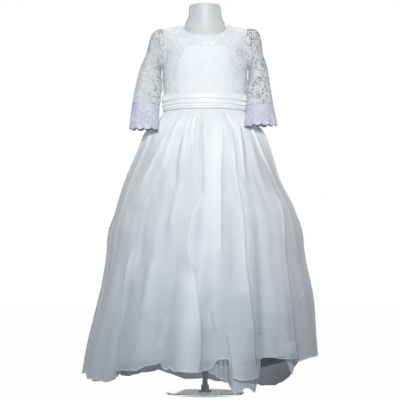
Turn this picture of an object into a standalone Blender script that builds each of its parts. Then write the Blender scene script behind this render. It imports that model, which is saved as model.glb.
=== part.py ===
"""Flower girl dress on a limbless child dress form.

A lace bodice over a lining, elbow sleeves with lace cuffs, a pleated satin sash and a full
floor-length skirt of two tulle layers over a satin lining. It stands on a torso form with a neck,
a pole, a socket and a round glass base plate.

Metres, +Z up. The origin is the centre of the base plate's underside. The dress faces -Y, and
left and right in the names are the wearer's, so left is +X. Angles round the body start at the
centre front and grow towards +X.
"""

import math
from collections import namedtuple

import bmesh
import bpy
from mathutils import Vector

NAME = "flower_girl_dress"

# Walls and gaps
LACE_WALL = 0.0012
LINING_WALL = 0.0010
TULLE_WALL = 0.0010
SATIN_WALL = 0.0012
SEAM_GAP = 0.0004
LAYER_GAP = 0.0005
LINING_GAP = 0.0016
FORM_GAP = 0.0085

# Bodice: heights of the seams and the grid of its panels
WAIST_Z = 0.870
SIDE_ROWS = 3
ARMHOLE_ROWS = 6
SHOULDER_ROWS = 2
TOP_ROW = SIDE_ROWS + ARMHOLE_ROWS + SHOULDER_ROWS
HALF_COLUMNS = 6
EDGE_LIFT = 2.2

SideRow = namedtuple("SideRow", "x z")
SIDE_SEAM = [
    SideRow(0.1250, 0.870),
    SideRow(0.1279, 0.908),
    SideRow(0.1310, 0.956),
    SideRow(0.1330, 1.008),
]
SHOULDER_TIP = Vector((0.1335, 0.0, 1.132))
NECK_POINT = Vector((0.0740, 0.0, 1.144))
ARMHOLE_CENTRE_Z = 1.0700
ARMHOLE_HALF_HEIGHT = 0.0620

Face = namedtuple("Face", "sign armhole_depth armhole_inset")
FRONT = Face(sign=-1, armhole_depth=0.050, armhole_inset=0.0135)
BACK = Face(sign=1, armhole_depth=0.053, armhole_inset=0.0100)

BodiceRow = namedtuple("BodiceRow", "front_depth front_z back_depth back_z wrap")
BODICE_ROWS = [
    BodiceRow(0.0920, 0.870, 0.0850, 0.870, 90),
    BodiceRow(0.0935, 0.908, 0.0865, 0.908, 90),
    BodiceRow(0.0965, 0.946, 0.0900, 0.946, 90),
    BodiceRow(0.0995, 0.984, 0.0945, 0.984, 90),
    BodiceRow(0.1000, 1.008, 0.0960, 1.008, 80),
    BodiceRow(0.0980, 1.034, 0.0965, 1.034, 70),
    BodiceRow(0.0925, 1.058, 0.0945, 1.058, 62),
    BodiceRow(0.0885, 1.070, 0.0910, 1.078, 60),
    BodiceRow(0.0845, 1.080, 0.0860, 1.096, 61),
    BodiceRow(0.0810, 1.087, 0.0800, 1.110, 65),
    BodiceRow(0.0775, 1.092, 0.0730, 1.121, 71),
    BodiceRow(0.0740, 1.097, 0.0660, 1.130, 78),
]

# Lining: how much of the bodice's width each of its rows takes, cut in at the armholes
LINING_WIDTHS = (1.0, 1.0, 1.0, 1.0, 0.90, 0.76, 0.66)

# Neck binding and back buttons
BINDING_RADIUS = 0.0020
BINDING_SIDES = 6
BUTTON_RADIUS = 0.0055
BUTTON_CROWN_RADIUS = 0.0040
BUTTON_HEIGHT = 0.0040
BUTTON_SIDES = 10
BUTTON_REACH = 0.045
BUTTON_ROWS = (10.6, 8.3, 6.4, 4.6, 2.6)

# Sash: how far up its height, and how far proud of the bodice, each line of its pleats lies
SASH_BOTTOM_ROW = 0.015
SASH_TOP_ROW = 1.30
SashLine = namedtuple("SashLine", "up proud")
SASH_LINES = [
    SashLine(0.00, 0.0022),
    SashLine(0.05, 0.0042),
    SashLine(0.21, 0.0048),
    SashLine(0.26, 0.0031),
    SashLine(0.33, 0.0045),
    SashLine(0.46, 0.0050),
    SashLine(0.51, 0.0033),
    SashLine(0.58, 0.0046),
    SashLine(0.71, 0.0050),
    SashLine(0.76, 0.0032),
    SashLine(0.83, 0.0043),
    SashLine(0.96, 0.0042),
    SashLine(1.00, 0.0022),
]

# Sleeves: each ring runs through an outer and an inner point, in a plane along Y
SLEEVE_WALL = LACE_WALL
SleeveRing = namedtuple("SleeveRing", "outer_x outer_z inner_x inner_z centre_y half_depth")
SLEEVE_LEFT = [
    SleeveRing(0.1545, 1.1315, 0.1352, 1.003, -0.001, 0.052),
    SleeveRing(0.1700, 1.1165, 0.1354, 0.996, -0.003, 0.053),
    SleeveRing(0.1765, 1.0890, 0.1350, 0.986, -0.007, 0.053),
    SleeveRing(0.1825, 1.0450, 0.1330, 0.970, -0.015, 0.051),
    SleeveRing(0.1935, 0.9990, 0.1285, 0.945, -0.034, 0.045),
    SleeveRing(0.2000, 0.9480, 0.1268, 0.915, -0.058, 0.039),
    SleeveRing(0.2085, 0.8840, 0.1262, 0.880, -0.082, 0.034),
]
SLEEVE_RIGHT = [
    SleeveRing(0.1530, 1.1280, 0.1352, 1.003, -0.001, 0.052),
    SleeveRing(0.1675, 1.1120, 0.1354, 0.996, -0.003, 0.053),
    SleeveRing(0.1755, 1.0840, 0.1350, 0.986, -0.007, 0.053),
    SleeveRing(0.1860, 1.0450, 0.1332, 0.970, -0.015, 0.051),
    SleeveRing(0.2015, 0.9990, 0.1305, 0.945, -0.034, 0.045),
    SleeveRing(0.2130, 0.9480, 0.1340, 0.915, -0.058, 0.039),
    SleeveRing(0.2230, 0.8840, 0.1380, 0.880, -0.082, 0.034),
]
CUFF_LEFT = [
    SleeveRing(0.2086, 0.8830, 0.1259, 0.879, -0.0823, 0.0342),
    SleeveRing(0.2135, 0.8500, 0.1230, 0.848, -0.0910, 0.0330),
    SleeveRing(0.2180, 0.8230, 0.1205, 0.821, -0.0980, 0.0320),
]
CUFF_RIGHT = [
    SleeveRing(0.2231, 0.8830, 0.1379, 0.879, -0.0823, 0.0342),
    SleeveRing(0.2275, 0.8470, 0.1383, 0.844, -0.0920, 0.0330),
    SleeveRing(0.2315, 0.8110, 0.1385, 0.809, -0.0990, 0.0320),
]
CUFF_COLUMNS = 24
SCALLOP_DROP = 0.006

# Skirt: half-widths and half-depths of the outer layer by height
SKIRT_TOP_Z = WAIST_Z - 0.0005
SkirtSection = namedtuple("SkirtSection", "z right left front back")
SKIRT_SECTIONS = [
    SkirtSection(0.870, 0.1262, 0.1262, 0.0935, 0.0865),
    SkirtSection(0.846, 0.1440, 0.1430, 0.1000, 0.0970),
    SkirtSection(0.811, 0.1800, 0.1790, 0.1130, 0.1180),
    SkirtSection(0.752, 0.2045, 0.2025, 0.1460, 0.1500),
    SkirtSection(0.658, 0.2430, 0.2310, 0.1890, 0.1950),
    SkirtSection(0.565, 0.2740, 0.2780, 0.2210, 0.2300),
    SkirtSection(0.503, 0.2930, 0.2960, 0.2370, 0.2500),
    SkirtSection(0.410, 0.3020, 0.3070, 0.2580, 0.2750),
    SkirtSection(0.286, 0.3260, 0.3310, 0.2840, 0.3030),
    SkirtSection(0.162, 0.3560, 0.3400, 0.3020, 0.3250),
    SkirtSection(0.000, 0.3870, 0.3460, 0.3180, 0.3450),
]

# Skirt folds: place at the hem and half-width in degrees, depth, the height where the fold has
# faded out, and how many degrees its top lies to the side of its foot
Fold = namedtuple("Fold", "angle half_width depth top drift")
SKIRT_FOLDS = [
    Fold(-168, 7, -0.010, 0.60, 2),
    Fold(-152, 9, 0.017, 0.72, -3),
    Fold(-137, 7, -0.011, 0.55, 2),
    Fold(-122, 9, 0.016, 0.66, 3),
    Fold(-108, 6, -0.009, 0.48, 0),
    Fold(-78, 7, -0.006, 0.50, 3),
    Fold(-62, 9, 0.015, 0.66, 6),
    Fold(-48, 6, -0.011, 0.52, 4),
    Fold(-36, 7, 0.010, 0.60, 5),
    Fold(-23, 7, -0.012, 0.56, 3),
    Fold(-8, 9, 0.018, 0.76, 10),
    Fold(4, 5, -0.009, 0.40, 2),
    Fold(19, 8, 0.022, 0.70, 8),
    Fold(31, 6, -0.012, 0.60, 2),
    Fold(43, 7, 0.010, 0.64, -4),
    Fold(55, 6, -0.009, 0.50, -3),
    Fold(68, 8, 0.012, 0.60, -4),
    Fold(104, 7, -0.009, 0.52, 0),
    Fold(118, 9, 0.015, 0.68, -4),
    Fold(133, 7, -0.010, 0.50, 2),
    Fold(148, 9, 0.017, 0.70, 3),
    Fold(162, 7, -0.009, 0.56, 0),
    Fold(177, 9, 0.015, 0.74, -2),
]
GATHER_COUNT = 40
GATHER_DEPTH = 0.0025
GATHER_FULL_Z = 0.836
GATHER_END_Z = 0.640

# Hems: height over the floor by the angle round the skirt
HemPoint = namedtuple("HemPoint", "angle z")
OVER_HEM = [
    HemPoint(-180, 0.044),
    HemPoint(-150, 0.058),
    HemPoint(-120, 0.062),
    HemPoint(-92, 0.064),
    HemPoint(-66, 0.056),
    HemPoint(-50, 0.090),
    HemPoint(-32, 0.112),
    HemPoint(-20, 0.098),
    HemPoint(-7, 0.082),
    HemPoint(4, 0.104),
    HemPoint(13, 0.092),
    HemPoint(21, 0.050),
    HemPoint(29, 0.086),
    HemPoint(40, 0.124),
    HemPoint(65, 0.126),
    HemPoint(92, 0.118),
    HemPoint(118, 0.110),
    HemPoint(136, 0.050),
    HemPoint(155, 0.030),
    HemPoint(180, 0.044),
]
UNDER_HEM = [
    HemPoint(-180, 0.022),
    HemPoint(-160, 0.046),
    HemPoint(-120, 0.054),
    HemPoint(-92, 0.060),
    HemPoint(-60, 0.048),
    HemPoint(-45, 0.066),
    HemPoint(-25, 0.090),
    HemPoint(-8, 0.070),
    HemPoint(5, 0.082),
    HemPoint(19, 0.024),
    HemPoint(28, 0.062),
    HemPoint(38, 0.114),
    HemPoint(70, 0.122),
    HemPoint(92, 0.116),
    HemPoint(112, 0.106),
    HemPoint(121, 0.070),
    HemPoint(131, 0.022),
    HemPoint(143, 0.007),
    HemPoint(165, 0.007),
    HemPoint(180, 0.022),
]
LINING_HEM = [
    HemPoint(-180, 0.070),
    HemPoint(-90, 0.090),
    HemPoint(-20, 0.112),
    HemPoint(30, 0.122),
    HemPoint(90, 0.132),
    HemPoint(140, 0.070),
    HemPoint(180, 0.070),
]

# Layers: how far each lies inside the outer one at the waist, the puff and the hem
Layer = namedtuple("Layer", "name hem wall waist_in puff_in hem_in fold_share columns rows")
PUFF_Z = 0.800
LAYERS = [
    Layer("skirt_over", OVER_HEM, TULLE_WALL, 0.0, 0.0, 0.0, 1.0, 40,
          (0, 0.030, 0.075, 0.155, 0.27, 0.39, 0.62, 1)),
    Layer("skirt_under", UNDER_HEM, TULLE_WALL, 0.0030, 0.0100, 0.0160, 0.75, 28,
          (0, 0.030, 0.080, 0.24, 0.42, 1)),
    Layer("skirt_lining", LINING_HEM, SATIN_WALL, 0.0054, 0.0200, 0.0450, 0.35, 18,
          (0, 0.030, 0.080, 0.24, 0.42, 1)),
]

# Form: hips below the waist, neck above the neckline, pole and base plate
FormRing = namedtuple("FormRing", "z half_width half_depth")
HIP_RINGS = [
    FormRing(0.646, 0.070, 0.055),
    FormRing(0.650, 0.092, 0.070),
    FormRing(0.664, 0.110, 0.083),
    FormRing(0.700, 0.121, 0.091),
    FormRing(0.760, 0.124, 0.092),
    FormRing(0.820, 0.120, 0.085),
]
NeckRing = namedtuple("NeckRing", "side_z front_z back_z half_width front_y back_y")
NECK_RINGS = [
    NeckRing(1.1490, 1.119, 1.140, 0.0620, -0.0535, 0.0525),
    NeckRing(1.1610, 1.146, 1.155, 0.0558, -0.0495, 0.0520),
    NeckRing(1.1780, 1.172, 1.175, 0.0510, -0.0480, 0.0510),
    NeckRing(1.2020, 1.202, 1.202, 0.0490, -0.0465, 0.0490),
    NeckRing(1.2050, 1.205, 1.205, 0.0467, -0.0442, 0.0467),
]
FORM_COLUMNS = 6
FORM_EDGE = 0.90
FORM_SIDE_X = 0.1300
POLE_RADIUS = 0.0080
BASE_RADIUS = 0.120
BASE_HEIGHT = 0.006
SOCKET_FOOT_Z = BASE_HEIGHT + SEAM_GAP
SOCKET_FLOOR = 0.0030
FLANGE_RADIUS = 0.020
FLANGE_HEIGHT = 0.003
COLLAR_RADIUS = 0.0120
COLLAR_HEIGHT = 0.022
POLE_FOOT_Z = SOCKET_FOOT_Z + SOCKET_FLOOR + SEAM_GAP

# Colours (linear RGB), roughness and metallic value of each finish
Finish = namedtuple("Finish", "colour roughness metallic")
FINISHES = {
    "lace": Finish((0.84, 0.86, 0.88), 0.85, 0.0),
    "lining": Finish((0.88, 0.89, 0.90), 0.60, 0.0),
    "cuff_lace": Finish((0.74, 0.77, 0.88), 0.85, 0.0),
    "satin": Finish((0.92, 0.92, 0.93), 0.35, 0.0),
    "tulle": Finish((0.78, 0.82, 0.86), 0.80, 0.0),
    "form": Finish((0.82, 0.85, 0.86), 0.35, 0.0),
    "steel": Finish((0.86, 0.87, 0.88), 0.40, 0.0),
    "glass": Finish((0.80, 0.90, 0.87), 0.05, 0.0),
}


def clear_scene():
    """Remove every object that the file opened with."""
    for thing in list(bpy.data.objects):
        bpy.data.objects.remove(thing, do_unlink=True)


def make_material(name):
    """Return a Principled material with the named finish."""
    finish = FINISHES[name]
    material = bpy.data.materials.new(name)
    material.use_nodes = True
    shader = material.node_tree.nodes["Principled BSDF"]
    shader.inputs["Base Color"].default_value = (*finish.colour, 1.0)
    shader.inputs["Roughness"].default_value = finish.roughness
    shader.inputs["Metallic"].default_value = finish.metallic
    return material


class Workshop:
    """Holds the collection, the parent empty and the materials, and adds finished pieces."""

    def __init__(self):
        self.collection = bpy.data.collections.new(NAME)
        bpy.context.scene.collection.children.link(self.collection)
        self.root = bpy.data.objects.new(f"{NAME}_origin", None)
        self.collection.objects.link(self.root)
        self.materials = {name: make_material(name) for name in FINISHES}

    def add(self, name, bm, finish, location=(0, 0, 0)):
        """Turn a bmesh into a named object with its faces pointing out."""
        bmesh.ops.recalc_face_normals(bm, faces=bm.faces)
        mesh = bpy.data.meshes.new(name)
        bm.to_mesh(mesh)
        bm.free()
        mesh.shade_smooth()
        mesh.set_sharp_from_angle(angle=math.radians(40))
        mesh.materials.append(self.materials[finish])
        piece = bpy.data.objects.new(name, mesh)
        piece.location = location
        piece.parent = self.root
        self.collection.objects.link(piece)
        return piece


# ---------------------------------------------------------------- general shapes


def mix(start, end, share):
    """Return the value that lies the given share of the way from start to end."""
    return start + (end - start) * share


def smoothstep(share):
    """Ease a share from 0 to 1 with level ends."""
    share = min(max(share, 0.0), 1.0)
    return share * share * (3 - 2 * share)


def curve_through(rows, key, column, at):
    """Read a column of a table at a key, on a smooth curve through the table's rows."""
    keys = [getattr(row, key) for row in rows]
    values = [getattr(row, column) for row in rows]
    if keys[0] > keys[-1]:
        keys.reverse()
        values.reverse()
    at = min(max(at, keys[0]), keys[-1])
    spot = next(i for i in range(len(keys) - 1) if at <= keys[i + 1])
    span = keys[spot + 1] - keys[spot]
    share = (at - keys[spot]) / span

    def slope(i):
        before, after = max(i - 1, 0), min(i + 1, len(keys) - 1)
        return (values[after] - values[before]) / (keys[after] - keys[before])

    square, cube = share ** 2, share ** 3
    return (
        (2 * cube - 3 * square + 1) * values[spot]
        + (cube - 2 * square + share) * span * slope(spot)
        + (3 * square - 2 * cube) * values[spot + 1]
        + (cube - square) * span * slope(spot + 1)
    )


def add_strip(bm, first, second, wraps):
    """Join two rows of vertices with quads."""
    count = len(first) if wraps else len(first) - 1
    for i in range(count):
        j = (i + 1) % len(first)
        bm.faces.new((first[i], first[j], second[j], second[i]))


def loft_wall(outer, inner, wraps):
    """Return a closed wall between two grids of points; a tube's rows wrap round."""
    bm = bmesh.new()
    sides = [
        [[bm.verts.new(point) for point in row] for row in grid]
        for grid in (outer, inner)
    ]
    for grid in sides:
        for lower, upper in zip(grid, grid[1:]):
            add_strip(bm, lower, upper, wraps)
    for end in (0, -1):
        add_strip(bm, sides[0][end], sides[1][end], wraps)
        if not wraps:
            edges = [[row[end] for row in grid] for grid in sides]
            add_strip(bm, edges[0], edges[1], False)
    return bm


def loft_rings(rings):
    """Return a solid through a stack of closed rings of points, capped at both ends."""
    bm = bmesh.new()
    loops = [[bm.verts.new(point) for point in ring] for ring in rings]
    for lower, upper in zip(loops, loops[1:]):
        add_strip(bm, lower, upper, True)
    bm.faces.new(loops[0])
    bm.faces.new(loops[-1])
    return bm


# ---------------------------------------------------------------- bodice


def panel_edge(face, row):
    """Return the point of the side seam, armhole or shoulder seam at a row of the panel."""
    seam_y = face.sign * SEAM_GAP / 2
    if row <= SIDE_ROWS:
        spot = min(int(row), SIDE_ROWS - 1)
        low, high = SIDE_SEAM[spot], SIDE_SEAM[spot + 1]
        share = row - spot
        return Vector((mix(low.x, high.x, share), seam_y, mix(low.z, high.z, share)))
    if row <= SIDE_ROWS + ARMHOLE_ROWS:
        share = (row - SIDE_ROWS) / ARMHOLE_ROWS
        turn = math.pi * (1 - share)
        bulge = math.sin(turn)
        x = mix(SIDE_SEAM[-1].x, SHOULDER_TIP.x, share) - face.armhole_inset * bulge ** 2
        y = seam_y + face.sign * face.armhole_depth * bulge
        return Vector((x, y, ARMHOLE_CENTRE_Z + ARMHOLE_HALF_HEIGHT * math.cos(turn)))
    share = (row - SIDE_ROWS - ARMHOLE_ROWS) / SHOULDER_ROWS
    point = SHOULDER_TIP.lerp(NECK_POINT, share)
    point.y = seam_y
    return point


def bodice_point(face, across, row):
    """Return a point of the bodice's outer face.

    across runs from -1 at the right edge through 0 at the centre line to 1 at the left edge, and
    row from 0 at the waist to TOP_ROW at the neckline.
    """
    spot = min(int(row), TOP_ROW - 1)
    low, high = BODICE_ROWS[spot], BODICE_ROWS[spot + 1]
    share = row - spot
    if face is FRONT:
        depth = mix(low.front_depth, high.front_depth, share)
        centre_z = mix(low.front_z, high.front_z, share)
    else:
        depth = mix(low.back_depth, high.back_depth, share)
        centre_z = mix(low.back_z, high.back_z, share)
    wrap = math.radians(mix(low.wrap, high.wrap, share))
    edge = panel_edge(face, row)
    centre_y = face.sign * depth
    out = abs(across)
    round_share = (1 - math.cos(out * wrap)) / (1 - math.cos(wrap))
    return Vector((
        math.copysign(edge.x * math.sin(out * wrap) / math.sin(wrap), across),
        mix(centre_y, edge.y, round_share),
        mix(centre_z, edge.z, out ** EDGE_LIFT),
    ))


def bodice_normal(face, across, row):
    """Return the outward direction of the bodice; on a seam it stays in the seam's plane."""
    step = 0.02
    west, east = max(across - step, -1), min(across + step, 1)
    low, high = max(row - 0.4, 0), min(row + 0.4, TOP_ROW)
    along = bodice_point(face, east, row) - bodice_point(face, west, row)
    up = bodice_point(face, across, high) - bodice_point(face, across, low)
    normal = along.cross(up) * -face.sign
    on_seam = row <= SIDE_ROWS or row >= SIDE_ROWS + ARMHOLE_ROWS
    if abs(across) > 0.999 and on_seam:
        normal.y = 0
    if across == 0:
        normal.x = 0
    return normal.normalized()


def bodice_grids(face, columns, widths, depth, wall):
    """Return the outer and inner grids of a wall that lies a depth inside the bodice's face.

    widths holds the share of the bodice's width that the wall takes at each row.
    """
    outer, inner = [], []
    for row, width in enumerate(widths):
        points = [bodice_point(face, across * width, row) for across in columns]
        normals = [bodice_normal(face, across * width, row) for across in columns]
        outer.append([p - n * depth for p, n in zip(points, normals)])
        inner.append([p - n * (depth + wall) for p, n in zip(points, normals)])
    return outer, inner


def half_columns(side):
    """Return the stations across one half, from the centre line to the given side's edge."""
    return [side * i / HALF_COLUMNS for i in range(HALF_COLUMNS + 1)]


def shift_from_centre(grids, side):
    """Move the centre-line column of a half panel to its own side of the back opening."""
    for grid in grids:
        for row in grid:
            row[0].x += side * SEAM_GAP / 2
    return grids


def build_bodice(shop):
    """Build the lace front and backs, and the lining that shows through them."""
    whole = [i / HALF_COLUMNS for i in range(-HALF_COLUMNS, HALF_COLUMNS + 1)]
    lining_depth = LACE_WALL + LINING_GAP
    layers = (
        ("bodice", "lace", (1.0,) * (TOP_ROW + 1), 0.0, LACE_WALL),
        ("bodice_lining", "lining", LINING_WIDTHS, lining_depth, LINING_WALL),
    )
    for name, finish, widths, depth, wall in layers:
        grids = bodice_grids(FRONT, whole, widths, depth, wall)
        shop.add(f"{name}_front", loft_wall(*grids, wraps=False), finish)
        for side, side_name in ((1, "left"), (-1, "right")):
            grids = bodice_grids(BACK, half_columns(side), widths, depth, wall)
            grids = shift_from_centre(grids, side)
            shop.add(f"{name}_back_{side_name}", loft_wall(*grids, wraps=False), finish)


def body_stations():
    """Return (face, across) pairs from the back opening round the body and back to it."""
    count = HALF_COLUMNS
    left_back = [(BACK, i / count) for i in range(count + 1)]
    front = [(FRONT, i / count) for i in range(count - 1, -count, -1)]
    right_back = [(BACK, -i / count) for i in range(count, -1, -1)]
    return left_back + front + right_back


def spread_ends(sections):
    """Part the first and last section of a band by the gap of the back opening."""
    for side, section in ((1, sections[0]), (-1, sections[-1])):
        for point in section:
            point.x += side * SEAM_GAP


def build_binding(shop):
    """Build the round binding that sits on the cut edge of the neckline."""
    sections = []
    for face, across in body_stations():
        edge = bodice_point(face, across, TOP_ROW)
        normal = bodice_normal(face, across, TOP_ROW)
        up = (edge - bodice_point(face, across, TOP_ROW - 0.5)).normalized()
        centre = edge - normal * (LACE_WALL / 2) + up * (BINDING_RADIUS + LAYER_GAP)
        turns = [math.tau * i / BINDING_SIDES for i in range(BINDING_SIDES)]
        sections.append([
            centre + (normal * math.cos(turn) + up * math.sin(turn)) * BINDING_RADIUS
            for turn in turns
        ])
    spread_ends(sections)
    shop.add("neck_binding", loft_rings(sections), "satin")


def build_sash(shop):
    """Build the sash: a satin band with four soft pleats, open at the centre back."""
    inner_rows = (SASH_BOTTOM_ROW, 1.0, SASH_TOP_ROW)
    sections = []
    for face, across in body_stations():
        section = []
        for line in SASH_LINES:
            row = mix(SASH_BOTTOM_ROW, SASH_TOP_ROW, line.up)
            point = bodice_point(face, across, row)
            section.append(point + bodice_normal(face, across, row) * line.proud)
        for row in reversed(inner_rows):
            point = bodice_point(face, across, row)
            section.append(point + bodice_normal(face, across, row) * LAYER_GAP)
        sections.append(section)
    spread_ends(sections)
    shop.add("sash", loft_rings(sections), "satin")


def build_buttons(shop):
    """Build the covered buttons on the left back panel, beside the back opening."""
    for number, row in enumerate(BUTTON_ROWS, start=1):
        point = bodice_point(BACK, BUTTON_REACH, row)
        normal = bodice_normal(BACK, BUTTON_REACH, row)
        bm = bmesh.new()
        bmesh.ops.create_cone(
            bm, cap_ends=True, segments=BUTTON_SIDES,
            radius1=BUTTON_RADIUS, radius2=BUTTON_CROWN_RADIUS, depth=BUTTON_HEIGHT,
        )
        button = shop.add(f"button_{number}", bm, "satin")
        button.rotation_euler = normal.to_track_quat("Z", "Y").to_euler()
        button.location = point + normal * (BUTTON_HEIGHT / 2 + LAYER_GAP)


# ---------------------------------------------------------------- sleeves


def ring_points(ring, side, count, inset=0.0):
    """Return one sleeve ring's points, starting at its top and running round by the front."""
    outer = Vector((ring.outer_x, ring.centre_y, ring.outer_z))
    inner = Vector((ring.inner_x, ring.centre_y, ring.inner_z))
    centre = (outer + inner) / 2
    reach = outer - centre
    reach *= 1 - inset / reach.length
    depth = ring.half_depth - inset
    points = []
    for i in range(count):
        turn = math.tau * i / count
        point = centre + reach * math.cos(turn) + Vector((0, -depth * math.sin(turn), 0))
        points.append(Vector((side * point.x, point.y, point.z)))
    return points


def armhole_loops(side):
    """Return the outer and inner points of the sleeve's edge, just clear of the armhole."""
    front = [panel_edge(FRONT, TOP_ROW - SHOULDER_ROWS - i) for i in range(ARMHOLE_ROWS)]
    back = [panel_edge(BACK, SIDE_ROWS + i) for i in range(ARMHOLE_ROWS)]
    centre = Vector((0, 0, ARMHOLE_CENTRE_Z))
    outer, inner = [], []
    for point in front + back:
        away = Vector((0, point.y, point.z)) - centre
        point.x += LAYER_GAP
        moved = point + away.normalized() * SLEEVE_WALL
        inner.append(Vector((side * point.x, point.y, point.z)))
        outer.append(Vector((side * moved.x, moved.y, moved.z)))
    return outer, inner


def build_sleeve(shop, side, side_name, rings):
    """Build one elbow-length lace sleeve as an open tube."""
    count = 2 * ARMHOLE_ROWS
    outer_edge, inner_edge = armhole_loops(side)
    outer = [outer_edge] + [ring_points(ring, side, count) for ring in rings]
    inner = [inner_edge] + [ring_points(ring, side, count, SLEEVE_WALL) for ring in rings]
    shop.add(f"sleeve_{side_name}", loft_wall(outer, inner, wraps=True), "lace")


def build_cuff(shop, side, side_name, rings):
    """Build one flared lace cuff with a scalloped lower edge."""
    outer = [ring_points(ring, side, CUFF_COLUMNS) for ring in rings]
    inner = [ring_points(ring, side, CUFF_COLUMNS, SLEEVE_WALL) for ring in rings]
    for grid in (outer, inner):
        for i, point in enumerate(grid[-1]):
            point.z -= SCALLOP_DROP * (i % 2)
    shop.add(f"cuff_lace_{side_name}", loft_wall(outer, inner, wraps=True), "cuff_lace")


# ---------------------------------------------------------------- skirt


def fold_depth(angle, z):
    """Return how far the skirt's folds and gathers stand out at an angle and a height."""
    depth = 0.0
    for fold in SKIRT_FOLDS:
        grown = smoothstep((fold.top - z) / fold.top)
        place = fold.angle + fold.drift * (1 - grown)
        away = abs((angle - place + 180) % 360 - 180) / fold.half_width
        if away < 1:
            depth += fold.depth * grown * math.cos(away * math.pi / 2) ** 2
    rise = smoothstep((SKIRT_TOP_Z - z) / (SKIRT_TOP_Z - GATHER_FULL_Z))
    fade = smoothstep((z - GATHER_END_Z) / (GATHER_FULL_Z - GATHER_END_Z))
    ripple = math.cos(math.radians(angle) * GATHER_COUNT)
    return depth + GATHER_DEPTH * rise * fade * ripple


def layer_inset(layer, z):
    """Return how far a layer lies inside the outer one at a height."""
    if z > PUFF_Z:
        share = (SKIRT_TOP_Z - z) / (SKIRT_TOP_Z - PUFF_Z)
        return mix(layer.waist_in, layer.puff_in, share)
    return mix(layer.puff_in, layer.hem_in, (PUFF_Z - z) / PUFF_Z)


def skirt_point(layer, angle, share):
    """Return a point of a skirt layer's outer face, share 0 at the waist and 1 at the hem."""
    hem_z = curve_through(layer.hem, "angle", "z", (angle + 180) % 360 - 180)
    z = mix(SKIRT_TOP_Z, hem_z, share)
    turn = math.radians(angle)
    out = Vector((math.sin(turn), -math.cos(turn), 0))
    width = curve_through(SKIRT_SECTIONS, "z", "left" if out.x > 0 else "right", z)
    depth = curve_through(SKIRT_SECTIONS, "z", "front" if out.y < 0 else "back", z)
    inset = layer_inset(layer, z)
    point = Vector((out.x * (width - inset), out.y * (depth - inset), z))
    return point + out * fold_depth(angle, z) * layer.fold_share


def skirt_normal(layer, angle, share, on_seam):
    """Return the outward direction of a skirt layer; on a seam it stays in the seam's plane."""
    low, high = max(share - 0.01, 0), min(share + 0.01, 1)
    along = skirt_point(layer, angle + 1.5, share) - skirt_point(layer, angle - 1.5, share)
    up = skirt_point(layer, angle, low) - skirt_point(layer, angle, high)
    normal = along.cross(up)
    if on_seam:
        normal.y = 0
    return normal.normalized()


def build_skirt_panel(shop, layer, panel_name, middle, seam_side):
    """Build the front or back panel of one layer, from side seam to side seam."""
    step = 180 / layer.columns
    angles = [middle - 90 + step * i for i in range(layer.columns + 1)]
    outer, inner = [], []
    for share in layer.rows:
        outer_row, inner_row = [], []
        for angle in angles:
            on_seam = angle in (angles[0], angles[-1])
            point = skirt_point(layer, angle, share)
            if on_seam:
                point.y = seam_side * SEAM_GAP / 2
            normal = skirt_normal(layer, angle, share, on_seam)
            outer_row.append(point)
            inner_row.append(point - normal * layer.wall)
        outer.append(outer_row)
        inner.append(inner_row)
    finish = "satin" if layer.name == "skirt_lining" else "tulle"
    shop.add(f"{layer.name}_{panel_name}", loft_wall(outer, inner, wraps=False), finish)


def build_skirt(shop):
    """Build the two tulle layers and the satin lining, each of a front and a back panel."""
    for layer in LAYERS:
        build_skirt_panel(shop, layer, "front", 0, -1)
        build_skirt_panel(shop, layer, "back", 180, 1)


# ---------------------------------------------------------------- dress form


def form_body_ring(row):
    """Return a ring of the form that follows the bodice from inside at one of its rows."""
    count = FORM_COLUMNS
    ring = []
    for face, heading in ((FRONT, 1), (BACK, -1)):
        for i in range(-count, count + 1):
            across = heading * FORM_EDGE * i / count
            normal = bodice_normal(face, across, row)
            ring.append(bodice_point(face, across, row) - normal * FORM_GAP)
        edge = (panel_edge(FRONT, row) + panel_edge(BACK, row)) / 2
        on_armhole = SIDE_ROWS < row < SIDE_ROWS + ARMHOLE_ROWS
        side_x = FORM_SIDE_X if on_armhole else edge.x
        down = 0.0 if row <= SIDE_ROWS else FORM_GAP * smoothstep((row - SIDE_ROWS) / ARMHOLE_ROWS)
        ring.append(Vector((heading * (side_x - FORM_GAP), edge.y, edge.z - down)))
    return ring


def oval_ring(half_width, front_y, back_y, heights):
    """Return a ring of the form's hips or neck; heights gives z at the front, side and back."""
    count = 4 * FORM_COLUMNS + 4
    front_z, side_z, back_z = heights
    ring = []
    for i in range(count):
        turn = math.tau * (i - FORM_COLUMNS) / count
        x, y = math.sin(turn), -math.cos(turn)
        depth, end_z = (-front_y, front_z) if y < 0 else (back_y, back_z)
        ring.append(Vector((half_width * x, depth * y, mix(side_z, end_z, y * y))))
    return ring


def build_form(shop):
    """Build the smooth torso with its neck, the pole and the round base plate."""
    rings = [
        oval_ring(hip.half_width, -hip.half_depth, hip.half_depth * 0.92, (hip.z,) * 3)
        for hip in HIP_RINGS
    ]
    rings += [form_body_ring(row) for row in range(TOP_ROW + 1)]
    rings += [
        oval_ring(ring.half_width, ring.front_y, ring.back_y,
                  (ring.front_z, ring.side_z, ring.back_z))
        for ring in NECK_RINGS
    ]
    shop.add("form_torso", loft_rings(rings), "form")

    pole_top = HIP_RINGS[0].z - SEAM_GAP
    bm = bmesh.new()
    bmesh.ops.create_cone(
        bm, cap_ends=True, segments=20, radius1=POLE_RADIUS, radius2=POLE_RADIUS,
        depth=pole_top - POLE_FOOT_Z,
    )
    shop.add("form_pole", bm, "steel", (0, 0, (pole_top + POLE_FOOT_Z) / 2))
    build_base(shop)


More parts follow.
